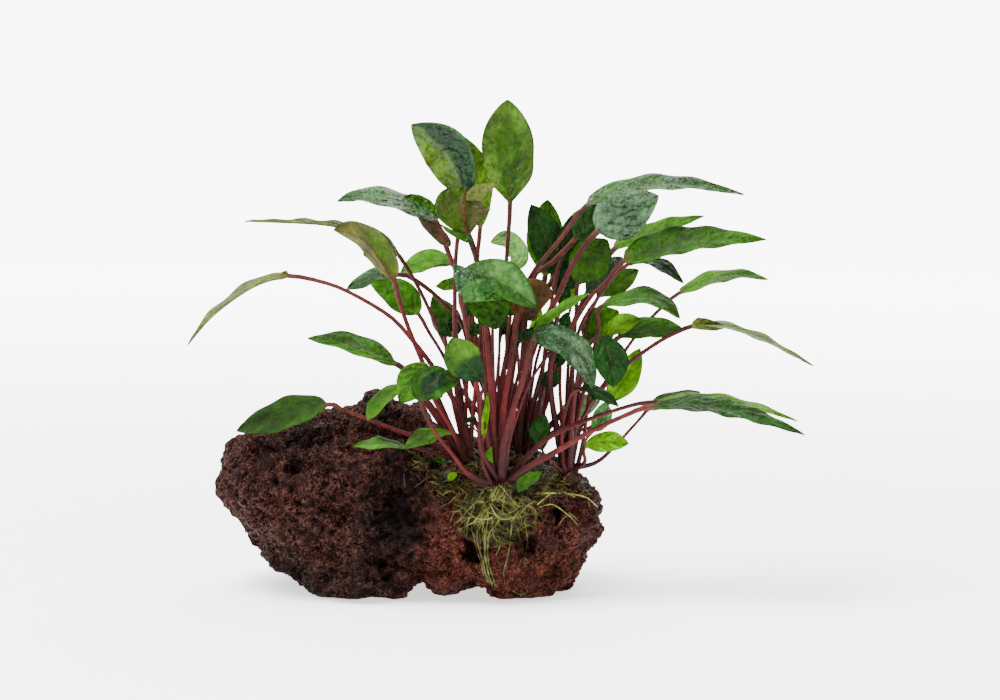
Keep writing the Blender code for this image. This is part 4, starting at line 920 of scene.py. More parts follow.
def rock_material():
    """Red-brown lava like a sponge: pores darkened as painted shade, thin ridges with painted glints, and
    painted shade in valleys and pits.
    """
    n = Nodes("lava")
    place = n.object_place()
    broad = n.noise(place, 34.0, 4.0, 0.6)
    middle = n.noise(place, 130.0, 5.0, 0.65)
    grain = n.noise(place, 3000.0, 4.0, 0.7)
    drift = n.noise(place, 740.0, 4.0, 0.6)
    pores = n.cells(n.bent(place, drift, 0.0023), 900.0)
    small_pores = n.cells(n.bent(place, drift, 0.0013), 2000.0)
    open_pore = n.ramp(pores, n.ramp(middle, 0.35, 0.65, 0.02, 0.2), n.ramp(middle, 0.35, 0.65, 0.4, 0.8))
    ridge = n.times(open_pore, n.plus(n.times(n.ramp(small_pores, 0.1, 0.6), 0.7), 0.3))
    patchy = n.ramp(broad, 0.4, 0.62)
    left = n.mix(patchy, (*paint(64, 30, 26), 1), (*paint(114, 49, 39), 1))
    right = n.mix(patchy, (*paint(152, 72, 57), 1), (*paint(206, 104, 80), 1))
    colour = n.layered(
        n.mix(n.ramp(n.split(place)[0], -0.01, 0.03), left, right),
        (n.ramp(middle, 0.5, 0.75, 0.0, 0.4), (122, 84, 74)),
        (n.ramp(grain, 0.35, 0.65, 0.8, 0.0), (46, 22, 19)),
        # Painted glints: light grains on the ridge tops
        (n.ramp(n.times(grain, ridge), 0.34, 0.56, 0.0, 0.5), (180, 130, 114)),
        # Pores painted near black, as painted shade
        (n.math("SUBTRACT", 1.0, ridge), (26, 11, 9)),
        # Dark patches at random that stand in for shaded valleys: painted shade
        (n.ramp(broad, 0.3, 0.5, 0.75, 0.0), (28, 12, 10)),
        (n.ramp(middle, 0.38, 0.52, 0.62, 0.0), (28, 12, 10)),
        # Painted shade from the pit attribute: deeper pits and holes, the recess, the shoulder and behind
        # the tangle
        (n.ramp(n.attribute("pit", "Fac"), 0.1, 0.8, 0.0, 0.92), (14, 5, 4)),
    )
    height = n.plus(ridge, n.times(grain, 0.45))
    return n.surface({"Base Color": colour, "Normal": n.bump(height, 1.0, 0.0012), "Specular IOR Level": 0.1,
                      "Roughness": n.ramp(n.times(ridge, grain), 0.1, 0.6, 0.95, 0.5)})


def root_material():
    """Pale yellow-green roots with darker joints."""
    n = Nodes("root_skin")
    place = n.object_place()
    grain = n.noise(place, 1500.0, 2.0)
    patch = n.ramp(n.noise(place, 260.0), 0.3, 0.7, 0.5, 1.25)
    colour = n.scaled(n.attribute("tint", "Color"), n.times(patch, n.ramp(grain, 0.3, 0.7, 0.8, 1.1)))
    return n.surface({"Base Color": colour, "Normal": n.bump(grain, 0.4, 0.0003),
                      "Roughness": 0.5, "Specular IOR Level": 0.25})


def crown_material():
    """Dark bark with grey-brown patches."""
    n = Nodes("crown_bark")
    place = n.object_place()
    patch = n.noise(place, 300.0, 4.0, 0.6)
    grain = n.noise(place, 1200.0)
    colour = n.layered((*paint(52, 22, 18), 1), (n.ramp(patch, 0.35, 0.65), (84, 48, 30)),
                       (n.ramp(grain, 0.4, 0.7, 0.0, 0.6), (24, 11, 9)))
    height = n.plus(patch, n.times(grain, 0.4))
    return n.surface({"Base Color": colour, "Normal": n.bump(height, 0.8, 0.001),
                      "Roughness": 0.8, "Specular IOR Level": 0.15})


# Rock surface
ROCK_VOXEL = 0.0012
# Pits over the whole rock: size of a cell in mm, share of the cells with a pit, its radius in cells and its
# depth in mm
PIT_KINDS = ((7.0, 0.5, 0.48, 2.0), (3.7, 0.75, 0.52, 1.7), (2.1, 0.85, 0.56, 1.2))
# How far the pits' cells are bent, and over what distance, in mm
PIT_BEND = 1.1
PIT_BEND_SIZE = 4.0
DEEPEST = 9.0
# Lumps over the whole rock: size and height, in mm, and how far the surface is raised in all
LUMPS = ((9.0, 1.2), (4.5, 1.2), (1.9, 0.9))
LUMPS_RAISE = 0.5
# Holes of the front, carved and darkened with painted shade: across, up, half width, half height, depth
HOLES = (
    (24.0, 17.5, 3.6, 6.5, 3.0), (48.0, 19.6, 3.0, 2.2, 3.0), (59.0, 33.5, 1.4, 4.4, 3.0),
    (69.6, 19.6, 2.6, 2.0, 2.5), (62.8, 20.0, 1.8, 1.4, 2.5), (8.0, 52.0, 7.0, 1.6, 2.5),
)
# Recess between the two lumps of the front, darkened with painted shade: across, up, half width, half height
RECESS = (-4.0, 32.0, 12.0, 34.0)
# Shoulder between the stalks, with old roots on it, darkened with painted shade
SHOULDER = (40.0, 56.0, 34.0, 12.0)
# Painted shade: how dark the recess, the shoulder and the rock behind the tangle are, as pits of so many mm,
# and the depth painted black
RECESS_GLOOM = 3.4
SHOULDER_GLOOM = 3.0
TANGLE_GLOOM = 5.0
DARKEST = 5.5
# The foot of the rock, in metres, keeps its flat spots
FLAT_FOOT = 0.003


def hollow(place, cell, share, radius, depth, seed):
    """How deep a pit of one kind is at a place, in mm."""
    spot = Vector(place) / cell + Vector((seed * 7.3, seed * 3.1, seed * 5.7))
    distances, centres = noise.voronoi(spot)
    if noise.cell(centres[0] * 13.7) > 2 * share - 1:
        return 0.0
    reach = distances[0] / radius
    if reach >= 1:
        return 0.0
    return depth * (1 - reach * reach) ** 0.7


def spot_reach(seen, spot):
    """How far places of the front view are from a spot's middle, where 1 is its rim."""
    return np.hypot((seen[:, 0] - spot[0]) / spot[2], (seen[:, 1] - spot[1]) / spot[3])


def remeshed_rock():
    """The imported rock, remeshed finely."""
    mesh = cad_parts["lava_rock"].data.copy()
    mesh.name = "lava_rock_fine"
    rock = add_object("lava_rock_fine", mesh)
    with edited(mesh) as bm:
        bmesh.ops.remove_doubles(bm, verts=bm.verts[:], dist=1e-6)
    soft = rock.modifiers.new("soft", "SUBSURF")
    soft.levels = soft.render_levels = 1
    voxels = rock.modifiers.new("voxels", "REMESH")
    voxels.mode = "VOXEL"
    voxels.voxel_size = ROCK_VOXEL
    bpy.context.view_layer.update()
    fine = bpy.data.meshes.new_from_object(rock.evaluated_get(bpy.context.evaluated_depsgraph_get()))
    rock.modifiers.clear()
    rock.data = fine
    refine_front(fine)
    return rock


def make_rock(material):
    """The rock with its lumps, pits of three sizes and the holes of the front, with painted shade kept for
    the pits, the holes, the recess, the shoulder and the rock behind the tangle.
    """
    rock = remeshed_rock()
    fine = rock.data
    count = len(fine.vertices)
    co = np.zeros(count * 3)
    normal = np.zeros(count * 3)
    fine.vertices.foreach_get("co", co)
    fine.vertex_normals.foreach_get("vector", normal)
    co, normal = co.reshape(-1, 3), normal.reshape(-1, 3)
    depth = np.zeros(count)
    lump = np.zeros(count)
    for index in range(count):
        place = co[index] / MM
        bent = place + np.array(noise.noise_vector(Vector(place) / PIT_BEND_SIZE) * PIT_BEND)
        for seed, kind in enumerate(PIT_KINDS):
            depth[index] += hollow(bent, *kind, seed)
        lump[index] = sum(noise.noise(Vector(place) / size) * height for size, height in LUMPS)
    seen = front_places(co)
    front = co[:, 1] < 0
    rough = 1 + 0.35 * np.sin(seen[:, 0] * 1.3 + seen[:, 1] * 0.9)
    for hole in HOLES:
        reach = spot_reach(seen, hole) * rough
        depth += np.where((reach < 1) & front, hole[4] * (1 - np.minimum(reach, 1) ** 2), 0)
    # Painted shade in the recess, on the shoulder and behind the tangle
    gloom = np.clip(1.3 - spot_reach(seen, RECESS), 0, 1) * front * RECESS_GLOOM
    gloom += np.clip(1.4 - spot_reach(seen, SHOULDER), 0, 1) * SHOULDER_GLOOM
    gloom += np.clip(1.25 - spot_reach(seen, TANGLE), 0, 1) * front * TANGLE_GLOOM
    floor_fade = np.clip(co[:, 2] / FLAT_FOOT, 0.0, 1.0)
    shift = (lump + LUMPS_RAISE - np.minimum(depth, DEEPEST)) * MM * floor_fade
    co += normal * shift[:, None]
    co[:, 2] = np.maximum(co[:, 2], 0.0)
    fine.vertices.foreach_set("co", co.ravel())
    # Kept as the pit attribute, which the lava material paints darker as painted shade
    layer = fine.attributes.new("pit", "FLOAT", "POINT")
    layer.data.foreach_set("value", np.clip((depth + gloom) / DARKEST, 0, 1).astype(np.float32))
    fine.materials.clear()
    fine.materials.append(material)
    fine.shade_smooth()
    fine.update()
    return rock


def refine_front(mesh):
    """Halves the edges of the faces that look to the front, where the pores show most."""
    with edited(mesh) as bm:
        front = [face for face in bm.faces if face.normal.y < -0.15]
        # Each edge once, in a fixed order, so that every run gives the same rock
        edges = list(dict.fromkeys(edge for face in front for edge in face.edges))
        bmesh.ops.subdivide_edges(bm, edges=edges, cuts=1, use_grid_fill=True, smooth=0.0)
        bmesh.ops.triangulate(bm, faces=bm.faces[:])
        bm.normal_update()


def front_places(co):
    """Across and up, in mm as seen from the front, of world places in metres."""
    away = co / MM + (ORIGIN_ACROSS, 0, 0) - EYE
    ahead = away @ (0, math.cos(VIEW_TILT), -math.sin(VIEW_TILT))
    return np.stack([VIEW_CENTRE_ACROSS + away[:, 0] / ahead * VIEW_DISTANCE,
                     VIEW_CENTRE_UP + away @ VIEW_UP / ahead * VIEW_DISTANCE], axis=1)


class Strands:
    """Many thin tubes gathered into one mesh. Their places are world places in mm."""

    def __init__(self):
        self.places = []
        self.faces = []
        self.tints = []

    def add(self, line, radius, colour, sides=5, tip=0.35):
        """A tube along a line, thinner towards its end."""
        line = np.asarray(line, float)
        along = np.gradient(line, axis=0)
        along /= np.maximum(np.linalg.norm(along, axis=1), 1e-9)[:, None]
        first = np.cross(along, (0.3, 0.5, 0.81))
        first /= np.maximum(np.linalg.norm(first, axis=1), 1e-9)[:, None]
        second = np.cross(along, first)
        self.faces += ring_faces(len(self.places), sides, len(line))
        for index, point in enumerate(line):
            share = index / (len(line) - 1)
            thick = radius * (1 - (1 - tip) * share ** 2)
            for side in range(sides):
                angle = 2 * math.pi * side / sides
                out = math.cos(angle) * first[index] + math.sin(angle) * second[index]
                self.places.append(point + thick * out)
                self.tints.append((*colour, 1.0))

    def make(self, name, material):
        return add_mesh(name, np.array(self.places) * MM, self.faces, [material], self.tints)


ROOT_COLOURS = (paint(160, 161, 70), paint(116, 120, 42), paint(208, 208, 118), paint(86, 86, 34),
                paint(138, 124, 58))
MOSS_COLOURS = (paint(78, 76, 32), paint(122, 114, 54), paint(70, 46, 30), paint(166, 154, 88),
                paint(110, 76, 48))

# The tangle: across and up of its middle, half width and half height, how far it stands off the rock
TANGLE = (35.2, 33.5, 14.6, 11.0, 4.2)
TANGLE_ROOTS = 215
ROOT_STEP = 1.25
# Headings of the roots, in radians: straight down, and how they start
DOWN = -1.57
HEADINGS = (-2.7, -0.45)
# How much a root keeps of its bend from step to step, how much is added, and the sharpest bend
BEND_KEPT = 0.84
BEND_ADDED = 0.2
BEND_LIMIT = 0.36
# Share of the tangle's roots that start at the crown: across and up of the place, and how far they scatter
COLLAR = (0.5, 35.0, 43.5, 5.0)
# Roots that hang clear of the tangle: across and up along each, its radius, and how far it stands off
HANGING_ROOTS = (
    (((27, 27), (27, 22), (29, 15), (31, 6)), 0.6, 1.4),
    (((30, 27), (30, 18), (31, 11), (33, 4)), 0.6, 1.9),
    (((28, 26), (28.5, 17), (30, 10), (32, 5)), 0.5, 2.2),
    (((25, 26), (26.5, 20), (28.8, 12), (30, 7)), 0.4, 1.3),
    (((32, 28), (31, 20), (31.5, 13), (33.5, 7), (34, 3)), 0.45, 1.2),
    (((29, 25), (30, 19), (29.5, 13), (31, 8), (35, 4)), 0.4, 2.4),
    (((39.5, 27), (40, 22), (39, 16), (37.5, 10), (38, 5)), 0.45, 1.3),
    (((42, 28), (44.5, 22), (45, 16), (46.5, 12)), 0.4, 1.3),
    (((46, 30), (47, 22), (46, 16), (49.5, 11.5)), 0.3, 1.2),
    (((35, 26), (36, 21), (34.5, 17)), 0.35, 1.4),
    (((52, 36), (57, 37), (63, 33), (67, 29)), 0.35, 1.2),
    (((49, 41), (54, 41.5), (60, 41.5), (66, 41), (71, 39.5), (75, 36)), 0.5, 1.4),
    (((51, 37), (56, 41), (61, 42), (66, 40)), 0.3, 1.3),
    (((22, 36), (18, 34), (16, 30)), 0.3, 1.2),
    (((20, 42), (16, 38), (12, 36)), 0.3, 1.2),
    (((41, 2.5), (44, 1.2), (47, 2.2), (46, 4)), 0.3, 1.0),
)
HANGING_STOUTNESS = 0.78
# How light the hanging roots are, and those that end to the right of SIDE_ACROSS
HANGING_SHADE = 0.42
SIDE_SHADE = 1.0
SIDE_ACROSS = 54
MOSS_COUNT = 1150
# Moss that shows from the front: across and up of its middle, half sizes, number of fibres
FRONT_MOSS = ((17, 50, 12, 7, 170), (27, 46, 6, 5, 70), (56, 46, 5, 4.5, 80), (46, 52, 8, 5, 90),
              (8, 56, 6, 3, 40))
# Where the moss grows on the shoulder: across, depth, half width, half depth
MOSS_SPOTS = ((14, -40, 9, 9), (24, -30, 11, 10), (38, -40, 16, 8), (52, -34, 12, 10), (63, -24, 9, 9),
              (44, -10, 13, 10))
MOSS_LOWEST = 0.025
MOSS_STEP = 1.1


def on_rock_front(tree, across, up, stand_off):
    """A world place, in mm, that stands off the rock's front at a place of the front view."""
    start, end = at([(across, -120, up), (across, 20, up)])
    hit = tree.ray_cast(Vector(start), Vector(end - start))[0]
    if hit is None:
        return None
    toward = Vector(start - end).normalized()
    return np.array(hit + toward * stand_off * MM) / MM


def make_tangle(tree, rng, material):
    """Curly roots that hang over the front of the rock below the front crown."""
    strands = Strands()
    middle_across, middle_up, half_across, half_up, thick = TANGLE
    for number in range(TANGLE_ROOTS):
        across = middle_across + rng.gauss(0, 0.4) * half_across
        up = middle_up + half_up * rng.uniform(-0.3, 1.0)
        heading = rng.uniform(*HEADINGS)
        if rng.random() < COLLAR[0]:
            across = COLLAR[1] + rng.gauss(0, COLLAR[3])
            up = COLLAR[2] + rng.uniform(-2, 2)
            heading = DOWN + 0.14 * (across - COLLAR[1]) + rng.gauss(0, 0.5)
        bend = rng.uniform(-0.25, 0.25)
        layer = rng.uniform(0.1, 1.0)
        line = []
        for _ in range(rng.randint(12, 34)):
            reach = math.hypot((across - middle_across) / half_across, (up - middle_up) / half_up)
            place = on_rock_front(tree, across, up, 0.8 + thick * layer * max(0.15, 1 - reach * reach))
            if place is None or reach > 1.3 or up > 47:
                break
            line.append(place + np.array([0, rng.uniform(-0.25, 0.25), 0]))
            bend = BEND_KEPT * bend + rng.uniform(-BEND_ADDED, BEND_ADDED)
            bend = min(max(bend, -BEND_LIMIT), BEND_LIMIT)
            heading += bend + 0.05 * (DOWN - heading)
            across += ROOT_STEP * math.cos(heading)
            up += ROOT_STEP * math.sin(heading)
        if len(line) > 3:
            # Roots deeper in the tangle are painted darker, as painted shade
            colour = [value * (0.05 + 0.75 * layer ** 1.5) for value in rng.choice(ROOT_COLOURS)]
            radius = rng.uniform(0.13, 0.21) + 0.15 * layer * rng.random()
            strands.add(curve_through(line, 2), radius, colour)
    for route, radius, stand_off in HANGING_ROOTS:
        shade = SIDE_SHADE if route[-1][0] > SIDE_ACROSS else HANGING_SHADE
        places = [on_rock_front(tree, across, up, stand_off + rng.uniform(-0.3, 0.3))
                  for across, up in even_steps(curve_through(route, 6), 14)]
        places = [place for place in places if place is not None]
        colour = [value * shade for value in rng.choice(ROOT_COLOURS[:3])]
        strands.add(curve_through(places, 2), radius * HANGING_STOUTNESS, colour, 6, 0.5)
    return strands.make("root_tangle", material)


def make_moss(tree, rng, material):
    """Short fibres of moss and old roots between the stalks, lying on the rock and the crowns."""
    strands = Strands()
    for _ in range(4 * MOSS_COUNT):
        if len(strands.places) > MOSS_COUNT * 24:
            break
        across, depth, half_across, half_depth = rng.choice(MOSS_SPOTS)
        x = across + rng.gauss(0, 0.5) * half_across - ORIGIN_ACROSS
        y = depth + rng.gauss(0, 0.5) * half_depth
        hit = tree.ray_cast(Vector((x * MM, y * MM, 0.1)), Vector((0, 0, -1)))[0]
        if hit is None or hit.z < MOSS_LOWEST:
            continue
        point = np.array(hit) / MM
        heading = rng.uniform(0, 2 * math.pi)
        rise = rng.uniform(0.2, 1.7)
        line = [point - (0, 0, 0.3)]
        for _ in range(5):
            heading += rng.uniform(-0.7, 0.7)
            rise -= rng.uniform(0.1, 0.5)
            point = point + MOSS_STEP * np.array([math.cos(heading), math.sin(heading), rise])
            ground = tree.ray_cast(Vector((point[0] * MM, point[1] * MM, 0.1)), Vector((0, 0, -1)))[0]
            if ground is None or not -2 < point[2] - ground.z / MM < 5:
                break
            point[2] = max(point[2], ground.z / MM + 0.1)
            line.append(point)
        if len(line) > 3:
            strands.add(line, rng.uniform(0.15, 0.3), rng.choice(MOSS_COLOURS), 4)
    for across, up, half_across, half_up, count in FRONT_MOSS:
        for _ in range(count):
            x = across + rng.gauss(0, 0.5) * half_across
            z = up + rng.gauss(0, 0.5) * half_up
            heading = rng.uniform(0, 2 * math.pi)
            lift = rng.uniform(0.3, 2.2)
            line = []
            for step in range(rng.randint(5, 9)):
                place = on_rock_front(tree, x, z, 0.15 + lift * math.sin(0.45 * step))
                if place is None or (line and np.linalg.norm(place - line[-1]) > 6):
                    break
                line.append(place)
                heading += rng.uniform(-0.6, 0.6)
                x += MOSS_STEP * math.cos(heading)
                z += MOSS_STEP * math.sin(heading)
            if len(line) > 3:
                strands.add(line, rng.uniform(0.18, 0.3), rng.choice(MOSS_COLOURS), 4)
    return strands.make("moss", material)


# Small leaves, each with its look. These stand only behind larger ones and thicken the bundle of stalks
HIDDEN_LEAVES = tuple(
    (Leaf(crown, stalk, blade, (depth, depth, depth), 5, (-0.1, -0.95, 0.2), 6, 0.5, 0.75), DEEP)
    for crown, depth, stalk, blade in (
        (FRONT, -38, [(34, 62), (33, 90)], [(31, 108), (29.5, 111), (28, 114)]),
        (FRONT, -36, [(36, 62), (38, 92)], [(40, 112), (41, 116), (42, 119)]),
        (MIDDLE, -20, [(42, 70), (40, 95)], [(37, 116), (36, 120), (35, 124)]),
        (MIDDLE, -18, [(45, 70), (45, 98)], [(46, 118), (46, 122), (46, 125)]),
        (FRONT, -32, [(38, 64), (41, 88)], [(45, 112), (46, 115), (47, 118)]),
        (LEFT, -30, [(25, 68), (27, 92)], [(29, 112), (30, 116), (31, 119)]),
        (RIGHT, -26, [(61, 68), (60, 82)], [(60, 92), (60, 95), (60, 98)]),
        (MIDDLE, -14, [(47, 70), (50, 92)], [(54, 106), (55, 110), (56, 113)]),
        (FRONT, -42, [(40, 62), (47, 84)], [(56, 98), (58, 101), (60, 104)]),
        (FRONT, -38, [(39, 62), (44, 86)], [(50, 104), (52, 108), (54, 112)]),
        (MIDDLE, -24, [(50, 72), (56, 92)], [(61, 106), (62, 110), (63, 114)]),
        (RIGHT, -22, [(64, 66), (66, 82)], [(68, 95), (68.5, 99), (69, 103)]),
        (MIDDLE, -17, [(48, 72), (54, 96)], [(60, 116), (62, 120), (63, 124)]),
        (LEFT, -24, [(22, 66), (23, 90)], [(24, 112), (25, 116), (26, 120)]),
        (FRONT, -41, [(34.5, 64), (33.5, 88)], [(33, 107), (33, 110), (32.5, 114)]),
        (FRONT, -35, [(35, 64), (35.5, 90)], [(36, 107), (36.5, 110), (37, 114)]),
        (FRONT, -39, [(36.5, 62), (39, 82)], [(42, 100), (43, 104), (44, 107)]),
        (FRONT, -37, [(37, 62), (42, 84)], [(47, 102), (48, 105), (49, 108)]),
        (MIDDLE, -22, [(44, 70), (47.5, 88)], [(50, 104), (51, 108), (52, 111)]),
        (LEFT, -22, [(20, 64), (16.5, 82)], [(14, 104), (13.5, 107), (13, 110)]),
        (LEFT, -18, [(21.5, 66), (19.5, 84)], [(17.5, 106), (17, 109), (16, 112)]),
        (MIDDLE, -4, [(27, 66), (22, 84)], [(18.5, 104), (17.5, 108), (16.5, 111)]),
        (FRONT, -30, [(28.5, 64), (27, 82)], [(26, 104), (26, 107), (26, 110)]),
        (RIGHT, -20, [(59, 66), (57, 80)], [(56, 98), (56, 101), (56.5, 104)]),
        (MIDDLE, -6, [(50, 66), (55, 78)], [(58, 96), (58.5, 99), (59, 102)]),
        (RIGHT, -27, [(62, 60), (67.5, 69)], [(73, 79), (74, 81), (75, 83)]),
        (RIGHT, -33, [(60, 60), (64, 72)], [(68, 88), (69, 91), (70, 94)]),
    ))
SMALL_LEAVES = HIDDEN_LEAVES + (
    # Between the two drooping leaves of the middle
    (Leaf(FRONT, [(33, 62), (35, 92)], [(36.5, 104.5), (38.5, 106.5), (41, 108.5)], (-34, -34, -34), 5,
          (-0.2, -0.9, 0.4), 5, 0.5, 0.5), DEEP),
    # Young rolled leaf
    (Leaf(FRONT, [(28.5, 58)], [(29.5, 64), (31, 74), (31, 82)], (-50, -51, -52), 3.2,
          (-0.5, -0.9, 0.0), 60, 0.4, 0.5), LIT),
    # Behind, below the right-hand stalks
    (Leaf(RIGHT, [(62, 62)], [(60.5, 72), (66, 75.5), (76, 78.5)], (-12, -12, -12), 10,
          (0.1, -0.9, 0.4), 6, 0.5, 0.6), HAZY),
    (Leaf(RIGHT, [(70, 62)], [(73, 66), (77, 72), (78, 78)], (-10, -10, -10), 9,
          (-0.3, -0.9, 0.4), 6, 0.5, 0.6), HAZY),
    # In the gaps of the top right
    (Leaf(MIDDLE, [(56, 95)], [(62, 122), (67, 133), (72, 146)], (-6, -6, -6), 14,
          (0.1, -0.95, 0.1), 8, 0.5, 0.7), DEEP),
    (Leaf(MIDDLE, [(54, 100)], [(60, 134), (66, 146), (75, 158)], (-14, -14, -14), 11,
          (0.1, -0.95, 0.1), 8, 0.5, 0.7), DEEP),
    (Leaf(RIGHT, [(72, 85)], [(79, 104), (84, 109), (92, 111.5)], (-26, -26, -26), 8,
          (0.1, -0.95, 0.2), 8, 0.5, 0.6), SPRING),
    # Dark, in the shade of the stalks
    (Leaf(RIGHT, [(57, 54)], [(53, 58.5), (52, 66), (54, 73)], (-34, -36, -36), 9,
          (-0.2, -0.95, 0.1), 8, 0.5, 0.5), DEEP),
    (Leaf(MIDDLE, [(52, 78)], [(53, 84), (56, 87), (60, 90)], (-30, -30, -30), 8,
          (-0.2, -0.9, 0.3), 6, 0.5, 0.5), DEEP),
    # Small ones on the moss
    (Leaf(LEFT, [(16, 52)], [(14, 53.5), (11.5, 55), (9.5, 54.5)], (-48, -49, -50), 3.4,
          (-0.2, -0.8, 0.5), 5, 0.5, 0.4), GREEN),
    (Leaf(FRONT, [(20.5, 50), (19.5, 50)], [(18.5, 50), (17, 48.5), (15.5, 46.5)], (-50, -51, -52), 3.6,
          (-0.2, -0.9, 0.4), 5, 0.5, 0.4), LIT),
    # Thin stalk with a curl of leaf
    (Leaf(FRONT, [(30, 58), (27, 66)], [(22.5, 69.5), (24.5, 71), (26.5, 70)], (-46, -46, -46), 2.5,
          (0, -0.9, 0.4), 8, 0.5, 0.35), DEEP),
)

EAR = Look((138, 150, 74), (120, 110, 60), gloss=0.1)
FOLD = Look((92, 148, 72), (96, 136, 56), gloss=0.45)
TORN = Look((104, 90, 62), (116, 84, 56), gloss=0.1)
WING = Look((50, 108, 46), (96, 136, 56), gloss=0.5)

# Lobes, ears and cut pieces of leaf: name, look, depth of the lowest place, lean, and outline
SCRAPS = (
    ("cut_strip", GREEN, -44.6, 0.06,
     ((42.5, 47.0), (43.0, 41.5), (47.0, 43.5), (51.5, 47.0), (53.0, 50.5), (47.5, 50.0))),
    ("cut_triangle", FRESH, -50, 0.3, ((28.6, 56.2), (32.8, 60.6), (33.2, 53.6))),
    ("drooping_leaf_wing", WING, -55.5, 0.1,
     ((17.2, 133.4), (20.4, 132.6), (24, 131), (26.4, 132.0), (25.8, 127.6), (24, 122.8), (21.6, 119.2),
      (18.8, 122), (17.6, 127.6))),
    ("drooping_leaf_fold", FOLD, -57.5, 0.32,
     ((21.4, 117.8), (20.4, 124), (24, 127), (32, 127.4), (40, 125.4), (46, 120.4), (43.4, 119.4),
      (39, 119.6), (34, 118.6), (28, 118.2))),
    ("cup_lip", EAR, -36.3, 0.0,
     ((25.8, 164.8), (29.6, 165.4), (32.8, 165.8), (35.6, 167.4), (36, 166.2), (33.6, 163.6), (30.4, 160.8),
      (28, 158.4), (25.2, 158.6), (22.4, 158.6), (22.4, 161.6))),
    ("cup_flap", GREEN, -35.8, 0.0,
     ((12, 149.4), (16.8, 147), (22, 145), (24.8, 144.2), (24.8, 142), (22.4, 141.6), (18.4, 143.6),
      (14, 146.4))),
    ("grey_leaf_lobe", TORN, -16.5, 0.0,
     ((2.5, 152.8), (8, 151.6), (12, 148.5), (15.5, 144.5), (17, 141.1), (15.3, 139.6), (12, 141.1),
      (8.7, 144.1), (5, 148))),
    ("leaf_behind_grey", FRESH, -12, 0.0,
     ((-2.8, 160.2), (0, 161.4), (4, 161), (8, 159), (11, 155.6), (11.4, 150.4), (6, 152), (1, 156))),
    ("long_leaf_ear", EAR, -30.6, 0.0,
     ((112.6, 107.4), (112.8, 110), (114.8, 111.8), (118.4, 111.6), (122.4, 110.2), (127, 107.8),
      (122.4, 106.4), (116.8, 106.8))),
    ("left_hook", FRESH, -13.6, 0.0,
     ((10, 124.2), (12.8, 126.8), (17.8, 128.2), (21, 127.4), (21, 123.4), (13.6, 122.4))),
    ("arching_leaf_ear", PALE, -36, 0.0, ((-54.4, 127.6), (-50.8, 130.4), (-49.2, 130.6), (-47.6, 127.6))),
)



def make_cut_leaf(name, outline, depth, lean, material, look):
    """A flat piece of leaf with cut edges, as thick as a blade."""
    bm = bmesh.new()
    line = even_steps(np.array(outline + outline[:1], float), 24)[:-1]
    low = min(up for _, up in outline)
    verts = [bm.verts.new(at((across, depth + lean * (up - low), up))[0]) for across, up in line]
    face = bm.faces.new(verts)
    bmesh.ops.triangulate(bm, faces=[face])
    bmesh.ops.subdivide_edges(bm, edges=bm.edges[:], cuts=2, use_grid_fill=True)
    bmesh.ops.recalc_face_normals(bm, faces=bm.faces[:])
    mesh = bpy.data.meshes.new(name)
    bm.to_mesh(mesh)
    bm.free()
    seen = front_places(np.array([vert.co for vert in mesh.vertices]))
    marks = [((across - outline[0][0]) * 0.12, up * 0.35, 1.0) for across, up in seen]
    mark_points(mesh, [(*look.top, 1.0)] * len(mesh.vertices), marks)
    mesh.materials.append(material)
    made = add_object(name, mesh)
    thick = made.modifiers.new("thick", "SOLIDIFY")
    thick.thickness = 2 * LEAF_HALF_THICKNESS * MM
    thick.offset = 0
    return made


CROWN_DRAW_IN = 0.42
# Roughness of the bark: size and height, in mm
BARK = ((2.6, 1.3), (0.9, 0.4))


def make_crown(name, material):
    """A packed crown, narrower, rounded and roughened."""
    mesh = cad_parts[name].data.copy()
    mesh.name = name + "_bark"
    across, _, depth, _, _ = CROWNS[name]
    middle = Vector(at([(across, depth, 0)])[0])
    with edited(mesh) as bm:
        bmesh.ops.remove_doubles(bm, verts=bm.verts[:], dist=1e-6)
        bmesh.ops.subdivide_edges(bm, edges=bm.edges[:], cuts=3, use_grid_fill=True, smooth=0.6)
        bmesh.ops.triangulate(bm, faces=bm.faces[:])
        for vert in bm.verts:
            rough = sum(noise.noise(vert.co / MM / size) * height for size, height in BARK)
            vert.co.x += CROWN_DRAW_IN * (middle.x - vert.co.x)
            vert.co.y += CROWN_DRAW_IN * (middle.y - vert.co.y)
            vert.co += vert.normal * rough * MM
    mesh.shade_smooth()
    mesh.materials.clear()
    mesh.materials.append(material)
    return add_object(name + "_bark", mesh)


# Where the studio is brightest, and how bright it is there and opposite
SKY_TOWARD = (-0.2, 0.35, 0.92)
SKY_LOW = 0.4
SKY_HIGH = 2.0
KEY_POWER = 60
BACK_POWER = 15
FLOOR_SIZE = 150.0
LIGHT_TARGET = Vector((0.04, 0, 0.09))


def make_floor():
    """A white studio floor that glows more the further it is from the plant."""
    n = Nodes("floor_paper")
    distance = n.node("VectorMath", n.object_place(), operation="LENGTH").outputs["Value"]
    paper = n.surface({"Base Color": (0.96, 0.96, 0.96, 1), "Roughness": 0.9, "Emission Color": (1, 1, 1, 1),
                       "Emission Strength": n.ramp(distance, 0.1, 1.6, 1.2, 7.0)})
    mesh = bpy.data.meshes.new("floor")
    with edited(mesh) as bm:
        bmesh.ops.create_grid(bm, x_segments=1, y_segments=1, size=FLOOR_SIZE)
    mesh.materials.append(paper)
    floor = add_object("floor", mesh)
    floor.location = (0, 0, -0.0002)


def make_light(name, place, size, power):
    light = bpy.data.lights.new(name, "AREA")
    light.size = size
    light.energy = power
    lamp = add_object(name, light)
    lamp.location = place
    lamp.rotation_euler = (LIGHT_TARGET - Vector(place)).to_track_quat("-Z", "Y").to_euler()


